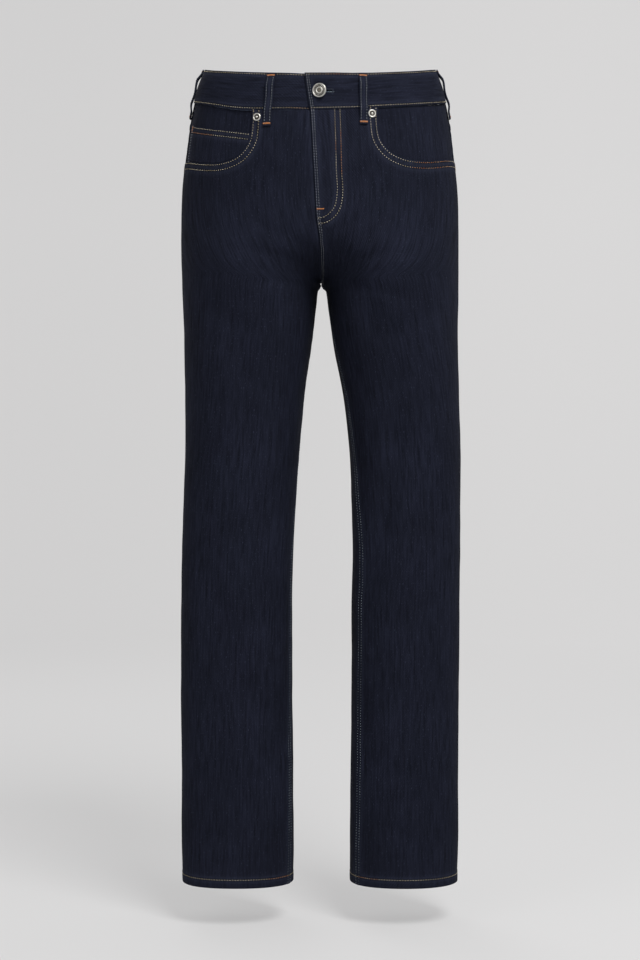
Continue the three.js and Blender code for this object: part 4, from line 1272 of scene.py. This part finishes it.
tacks = []
for name, spot in LOOPS.items():
    place = loop_points(spot)
    for at in (0.045, 0.955):
        across = place(np.array([0.05, 0.5, 0.95]), np.full(3, at))[0]
        tacks += tack(name, across[1], across[2] - across[0], *LOOP_TACK)
tacks += tack("front_left", at_x(FLY_TACK_X, FLY_TACK_Z)[0], LEFTWARDS, *FLY_TACK)
for hand, side in SIDES.items():
    z = MOUTHS[hand][-1][1] - 5
    mouth_end = on_cloth(side, True, QUARTER - 0.05, np.array([float(z)]))[0][0]
    tacks += tack(f"front_{hand}", mouth_end, UPWARDS, *MOUTH_TACK, 0.2)
    for u in (0.02, 0.98):
        corner = patch_place(side, np.array([u]), np.array([0.965]))[0][0]
        tacks += tack(f"back_pocket_{hand}", corner, UPWARDS, *PATCH_TACK)
coin_corner = coin_points(np.array([0.97]), np.array([0.95]))[0][0]
tacks += tack("coin_pocket", coin_corner, UPWARDS, *COIN_TACK)
sew("bartacks", tacks)

# %% [markdown]
# The buttonhole is edged with close stitches in a thread as dark as the denim, which stand outwards all
# round its eye and slit and end in a bar. Where the slit has worn, the white weft frays out of it.

# %% Buttonhole
EDGE_LONG, EDGE_WIDE, EDGE_PITCH = 2.3, 0.62, 0.55
FRAYS, FRAY_LONG, FRAY_WIDE, FRAY_LEAN, FRAY_LOW = 16, 1.9, 0.34, 0.55, 1.1


def keyhole():
    """Points round the buttonhole's edge, by x and z, and the way out of the hole at each."""
    opening = math.asin(SLIT_HALF / EYE_RADIUS)
    turns = np.arange(opening, math.tau - opening, EDGE_PITCH / EYE_RADIUS)
    ways = np.stack([np.cos(turns), np.sin(turns)], axis=1)
    eye = ways * EYE_RADIUS
    reach = np.arange(EYE_RADIUS, SLIT_END, EDGE_PITCH)
    sides = [(np.stack([reach, 0 * reach + half], axis=1), np.tile((0, half / SLIT_HALF), (len(reach), 1)))
             for half in (SLIT_HALF, -SLIT_HALF)]
    spots = np.concatenate([eye] + [spots for spots, _ in sides])
    return spots, np.concatenate([ways] + [out for _, out in sides])


def on_lap(x, z):
    """A point in front of the waistband's upper end, which the stitches drop onto."""
    return Vector((x, round_waist(angle_at(x, z) / QUARTER, z, BAND_PROUD + LAP_LIFT)[0][1], z)) * MM


edging = []
for (x, z), (out_x, out_z) in zip(*keyhole()):
    spot = on_lap(BUTTON_X + x + out_x * EDGE_LONG * 0.42, BUTTON_Z + z + out_z * EDGE_LONG * 0.42)
    edging.append(stitch("waistband", spot, Vector((out_x, 0, out_z)), EDGE_LONG, 0, EDGE_WIDE))
bar_at = on_lap(BUTTON_X + SLIT_END + 1, BUTTON_Z) / MM
edging += tack("waistband", bar_at, UPWARDS, *BUTTONHOLE_TACK, 0)
sew("buttonhole_edging", edging, buttonhole_thread)
fraying = []
for n in range(FRAYS):
    x = lerp(EYE_RADIUS, SLIT_END + 2.4, (n + 0.5) / FRAYS)
    lean = FRAY_LEAN * noise.noise(Vector((n * 1.7, 0.3, 0)))
    spot = on_lap(BUTTON_X + x, BUTTON_Z - FRAY_LOW + lean)
    fraying.append(stitch("waistband", spot, Vector((1, 0, lean)).normalized(), FRAY_LONG, 0, FRAY_WIDE))
sew("buttonhole_fraying", fraying, frayed_weft)

# %% [markdown]
# ## Zip, button and rivets
# The zip is hidden behind the fly and shows only from inside: a woven tape, two columns of interlocked
# teeth and a slider at the top. Round metal parts are spun from their outlines.

# %% Zip
ZIP_HALF, ZIP_BOTTOM_Z, ZIP_TOP_Z, ZIP_DEPTH, FROM_FLY_EDGE, TAPE_THICK = 13, -162, -52, 3.4, 12, 0.6
TOOTH_PITCH, TOOTH_ASIDE, TOOTH_SIZE = 1.5, 0.9, (3.4, 1.1, 1.4)
# the size of each part of the slider, how far up it is and how far inwards: its body, bridge and puller
SLIDER_PARTS = (((7.6, 10, 2.6), 0, 0), ((5.2, 6, 1), 0, 2.1), ((4.4, 16, 1.1), -10, 2.4))


def zip_points(x, z, lift):
    return at_x(fly_edge_x(z) + FROM_FLY_EDGE + x, z, lift=lift)


def bevelled(mesh, width, segments):
    bmesh.ops.bevel(mesh, geom=mesh.edges[:], offset=width * MM, affect="EDGES", segments=segments,
                    profile=0.5, material=-1)


def full_spin(mesh, outline, steps, merged):
    """Spins an outline of radius and height, in metres, once round z and joins points that meet."""
    verts = [mesh.verts.new((r, 0, h)) for r, h in outline]
    edges = [mesh.edges.new(pair) for pair in zip(verts, verts[1:])]
    bmesh.ops.spin(mesh, geom=verts + edges, cent=(0, 0, 0), axis=(0, 0, 1), angle=math.tau, steps=steps,
                   use_merge=True)
    bmesh.ops.remove_doubles(mesh, verts=mesh.verts, dist=merged)


def spun(name, outline, steps, matrix, material, nodes=(), extra=None):
    """A round part: its outline of radius and height is spun round its axis and placed by a matrix."""
    mesh = bmesh.new()
    full_spin(mesh, [(r * MM, h * MM) for r, h in outline], steps, 0.001 * MM)
    if extra:
        extra(mesh)
    bmesh.ops.recalc_face_normals(mesh, faces=mesh.faces)
    bmesh.ops.transform(mesh, matrix=matrix, verts=mesh.verts)
    finished(mesh, name, material, nodes)


tape = bmesh.new()
bmesh.ops.create_grid(tape, x_segments=12, y_segments=60, size=0.5)
flat = np.array([v.co.xy for v in tape.verts]) + 0.5
across, up = lerp(-ZIP_HALF, ZIP_HALF, flat[:, 0]), lerp(ZIP_BOTTOM_Z, ZIP_TOP_Z, flat[:, 1])
points = zip_points(across, up, -ZIP_DEPTH)[0]
for vert, point in zip(tape.verts, points * MM):
    vert.co = point
bmesh.ops.recalc_face_normals(tape, faces=tape.faces)
bmesh.ops.solidify(tape, geom=tape.faces[:], thickness=TAPE_THICK * MM)
finished(tape, "zip_tape", zip_tape, ["fly_zip"])

teeth = bmesh.new()
up = Vector((0, 0, 1))
for n, z in enumerate(np.arange(ZIP_BOTTOM_Z + 4, ZIP_TOP_Z - 8, TOOTH_PITCH)):
    point, normal = zip_points(TOOTH_ASIDE * (1 if n % 2 else -1), z, -ZIP_DEPTH - 1.3)
    ways = (up.cross(Vector(normal)).normalized(), up, Vector(normal))
    turned = Matrix([way * size * MM for way, size in zip(ways, TOOTH_SIZE)]).transposed()
    bmesh.ops.create_cube(teeth, size=1, matrix=Matrix.Translation(Vector(point) * MM) @ turned.to_4x4())
bevelled(teeth, 0.25, 1)
finished(teeth, "zip_teeth", satin_nickel)

slider = bmesh.new()
point, normal = zip_points(0, ZIP_TOP_Z - 6, -ZIP_DEPTH - 1.9)
basis = Matrix((Vector((1, 0, 0)), up, -Vector(normal))).transposed().to_4x4()
stand = Matrix.Translation(Vector(point) * MM) @ basis
for size, place_up, inwards in SLIDER_PARTS:
    matrix = stand @ Matrix.Translation(Vector((0, place_up, inwards)) * MM)
    bmesh.ops.create_cube(slider, size=1, matrix=matrix @ Matrix.Diagonal((*(Vector(size) * MM), 1)))
bevelled(slider, 0.45, 2)
finished(slider, "zip_slider", satin_nickel)

# %% [markdown]
# The shank button is 16 mm across and has swung a little on its shank. Its cap has a rolled rim and a
# raised inner ring. Between them lies a darker band, an antique wash with painted shade, with a border of
# small raised marks, plain ornament in place of any lettering, and in the middle the dull head of the tack
# lies in a hollow, darkened by painted shade. The rivets have a wide foot, a dimple darkened by painted
# shade and a bright nipple.

# %% Button
SWING, PIVOT = math.radians(15), 5
MARKS, MARK_RADIUS, MARK_HEIGHT = 26, 5.5, 7.5


def facing_out(point, normal):
    """A matrix that stands a part spun round z on a point of the cloth, along its normal."""
    turn = Vector((0, 0, 1)).rotation_difference(Vector(normal))
    return Matrix.Translation(Vector(point) * MM) @ turn.to_matrix().to_4x4()


def button_marks(mesh):
    """Short raised marks of uneven lengths and slants in a ring."""
    for n in range(MARKS):
        turn = math.tau * n / MARKS
        uneven = noise.noise(Vector((n * 1.37, 0.5, 0)))
        out = Vector((MARK_RADIUS + 0.5 * uneven, 0, MARK_HEIGHT))
        spin = Matrix.Rotation(turn, 4, "Z") @ Matrix.Translation(out * MM)
        size = Vector((1.1 + 0.9 * uneven, 0.55, 0.5)) * MM
        matrix = spin @ Matrix.Rotation(uneven * 1.8, 4, "Z") @ Matrix.Diagonal((*size, 1))
        bmesh.ops.create_uvsphere(mesh, u_segments=8, v_segments=5, radius=0.62, matrix=matrix)


button_place = angle_at(BUTTON_X, BUTTON_Z) / QUARTER
button_at, _ = round_waist(button_place, BUTTON_Z, BAND_PROUD - LAP_DIP + SEAM_GAP)
shank_stand = facing_out(button_at, (0, -1, 0))
to_pivot = Matrix.Translation((0, 0, PIVOT * MM))
lean_right = Matrix.Rotation(SWING, 4, shank_stand.to_3x3().inverted() @ Vector((0, 0, -1)))
cap_stand = shank_stand @ to_pivot @ lean_right @ to_pivot.inverted()
shank = [(0, 0), (2, 0), (2, 6.2), (0, 6.2)]
cap = [(1.5, 5.5), (7.3, 5.5), (7.85, 5.75), (8.2, 6.3), (8.15, 7.0), (7.9, 7.55), (7.5, 7.9), (7.05, 7.95),
       (6.7, 7.75), (6.55, 7.4), (6.55, 6.9), (1.5, 6.9), (1.5, 5.5)]
band = [(1.5, 6.95), (4.3, 7.3), (6.6, 7.3), (6.6, 6.9), (1.5, 6.9), (1.5, 6.95)]
inner_ring = [(2.5, 6.9), (2.6, 7.6), (2.85, 7.95), (3.4, 8.0), (3.9, 7.8), (4.2, 7.4), (4.2, 6.9),
              (2.5, 6.9)]
tack_head = [(0, 6.9), (2.6, 6.9), (2.5, 7.1), (1.6, 7.2), (0, 7.22)]
spun("button", cap, 56, cap_stand, satin_nickel, ["button"])
spun("button_shank", shank, 24, shank_stand, hollow_shade_nickel)
spun("button_band", band, 48, cap_stand, hollow_shade_nickel)
spun("button_marks", inner_ring, 40, cap_stand, satin_nickel, extra=button_marks)
spun("button_tack_head", tack_head, 28, cap_stand, dull_shaded_nickel)

# %% Rivets
RIVETS = {"rivet_right": (-72, -56.5), "rivet_left": (59.5, -53)}  # x and z
RIVET_STAND = 0.25
foot = [(0, 0), (4.3, 0), (4.65, 0.25), (4.7, 0.7), (4.45, 1.15), (4.0, 1.4), (3.5, 1.4), (3.15, 1.1),
        (3.0, 0.7), (0, 0.6)]
dimple = [(0, 0.62), (3.0, 0.72), (3.1, 1.0), (2.8, 0.85), (0, 0.8)]
nipple = [(0, 0.7), (1.45, 0.8), (1.45, 1.3), (1.05, 1.8), (0.45, 2.05), (0, 2.1)]
for name, (x, z) in RIVETS.items():
    stand = facing_out(*at_x(x, z, lift=RIVET_STAND))
    spun(name, foot, 40, stand, satin_nickel, [name])
    spun(f"{name}_dimple", dimple, 32, stand, hollow_shade_nickel)
    spun(f"{name}_nipple", nipple, 24, stand, satin_nickel)

# %% [markdown]
# ## Floor and light
# The garment hangs a little above a plain pale floor that curves up into a wall all round, so every view
# has the same quiet background. The key light stands high in front, so a soft shadow falls on the floor
# behind the hems. A larger, weaker light fills the other side, and two behind show the back.

# %% Floor and backdrop
FLOOR_Z, FLOOR_RADIUS, SWEEP_RADIUS, WALL_HIGH = -0.998, 3.7, 1.6, 3.4
SWEEP_STEPS, ROUND_STEPS = 16, 96


def studio_paper():
    """Pale grey paper with a painted glow of its own, not a lamp, which keeps shadows on it faint, most of
    all far from the garment.
    """
    material, tree, shader = new_material("painted_glow_studio_paper")
    place = add(tree, "ShaderNodeTexCoord").outputs["Object"]
    x = add(tree, "ShaderNodeSeparateXYZ", {"Vector": place}).outputs["X"]
    away = add(tree, "ShaderNodeVectorMath", {"Vector": place}, operation="LENGTH").outputs["Value"]
    # The glow is painted light: it rises away from the garment, where the lamps fall off, and a little
    # towards +x, as if lit from that side.
    depth = ranged(tree, away, 1.0, 4.4, 0.58, 0.69, interpolation_type="SMOOTHSTEP")
    side = ranged(tree, x, -1.2, 1.2, 0.95, 1.05, interpolation_type="SMOOTHSTEP")
    glow = add(tree, "ShaderNodeMath", {0: depth, 1: side}, operation="MULTIPLY").outputs[0]
    fill(tree, shader, {"Base Color": linear("9a9a9a"), "Roughness": 0.95, "Specular IOR Level": 0.1,
                        "Emission Color": linear("d5d4d4"), "Emission Strength": glow})
    return material


paper = bmesh.new()
turns = [QUARTER * n / SWEEP_STEPS for n in range(SWEEP_STEPS + 1)]
profile = [(0, 0), (1, 0), (2.4, 0)]
profile += [(FLOOR_RADIUS + SWEEP_RADIUS * math.sin(t), SWEEP_RADIUS * (1 - math.cos(t))) for t in turns]
profile += [(FLOOR_RADIUS + SWEEP_RADIUS, WALL_HIGH)]
full_spin(paper, [(r, FLOOR_Z + h) for r, h in profile], ROUND_STEPS, 0.1 * MM)
bmesh.ops.recalc_face_normals(paper, faces=paper.faces)
backdrop = new_object(paper, "backdrop", studio_paper())


# %% Lights
def area_light(name, place, target, size, watts, colour="ffffff"):
    lamp = bpy.data.lights.new(name, "AREA")
    lamp.shape, lamp.size, lamp.energy = "DISK", size, watts
    lamp.color = linear(colour)[:3]
    light = bpy.data.objects.new(name, lamp)
    light.location = place
    light.rotation_mode = "QUATERNION"
    light.rotation_quaternion = (Vector(target) - Vector(place)).to_track_quat("-Z", "Y")
    light.visible_camera = False
    bpy.context.scene.collection.objects.link(light)


area_light("key", (0.8, -1.55, 1.5), (0, 0, 0), 1.2, 56)
area_light("fill", (-2.2, -2.2, 0.9), (0, 0, -0.3), 2.0, 9)
area_light("edge", (2.4, 1.2, 0.7), (0, 0, -0.3), 1.4, 4, "f2f5ff")
area_light("back", (-0.8, 2.2, 1.3), (0, 0, -0.2), 1.8, 14)
world = bpy.data.worlds.new("studio")
world.use_nodes = True
world.node_tree.nodes["Background"].inputs["Color"].default_value = linear("ffffff")
world.node_tree.nodes["Background"].inputs["Strength"].default_value = 0.34
bpy.context.scene.world = world
bpy.context.scene.view_settings.view_transform = "Standard"
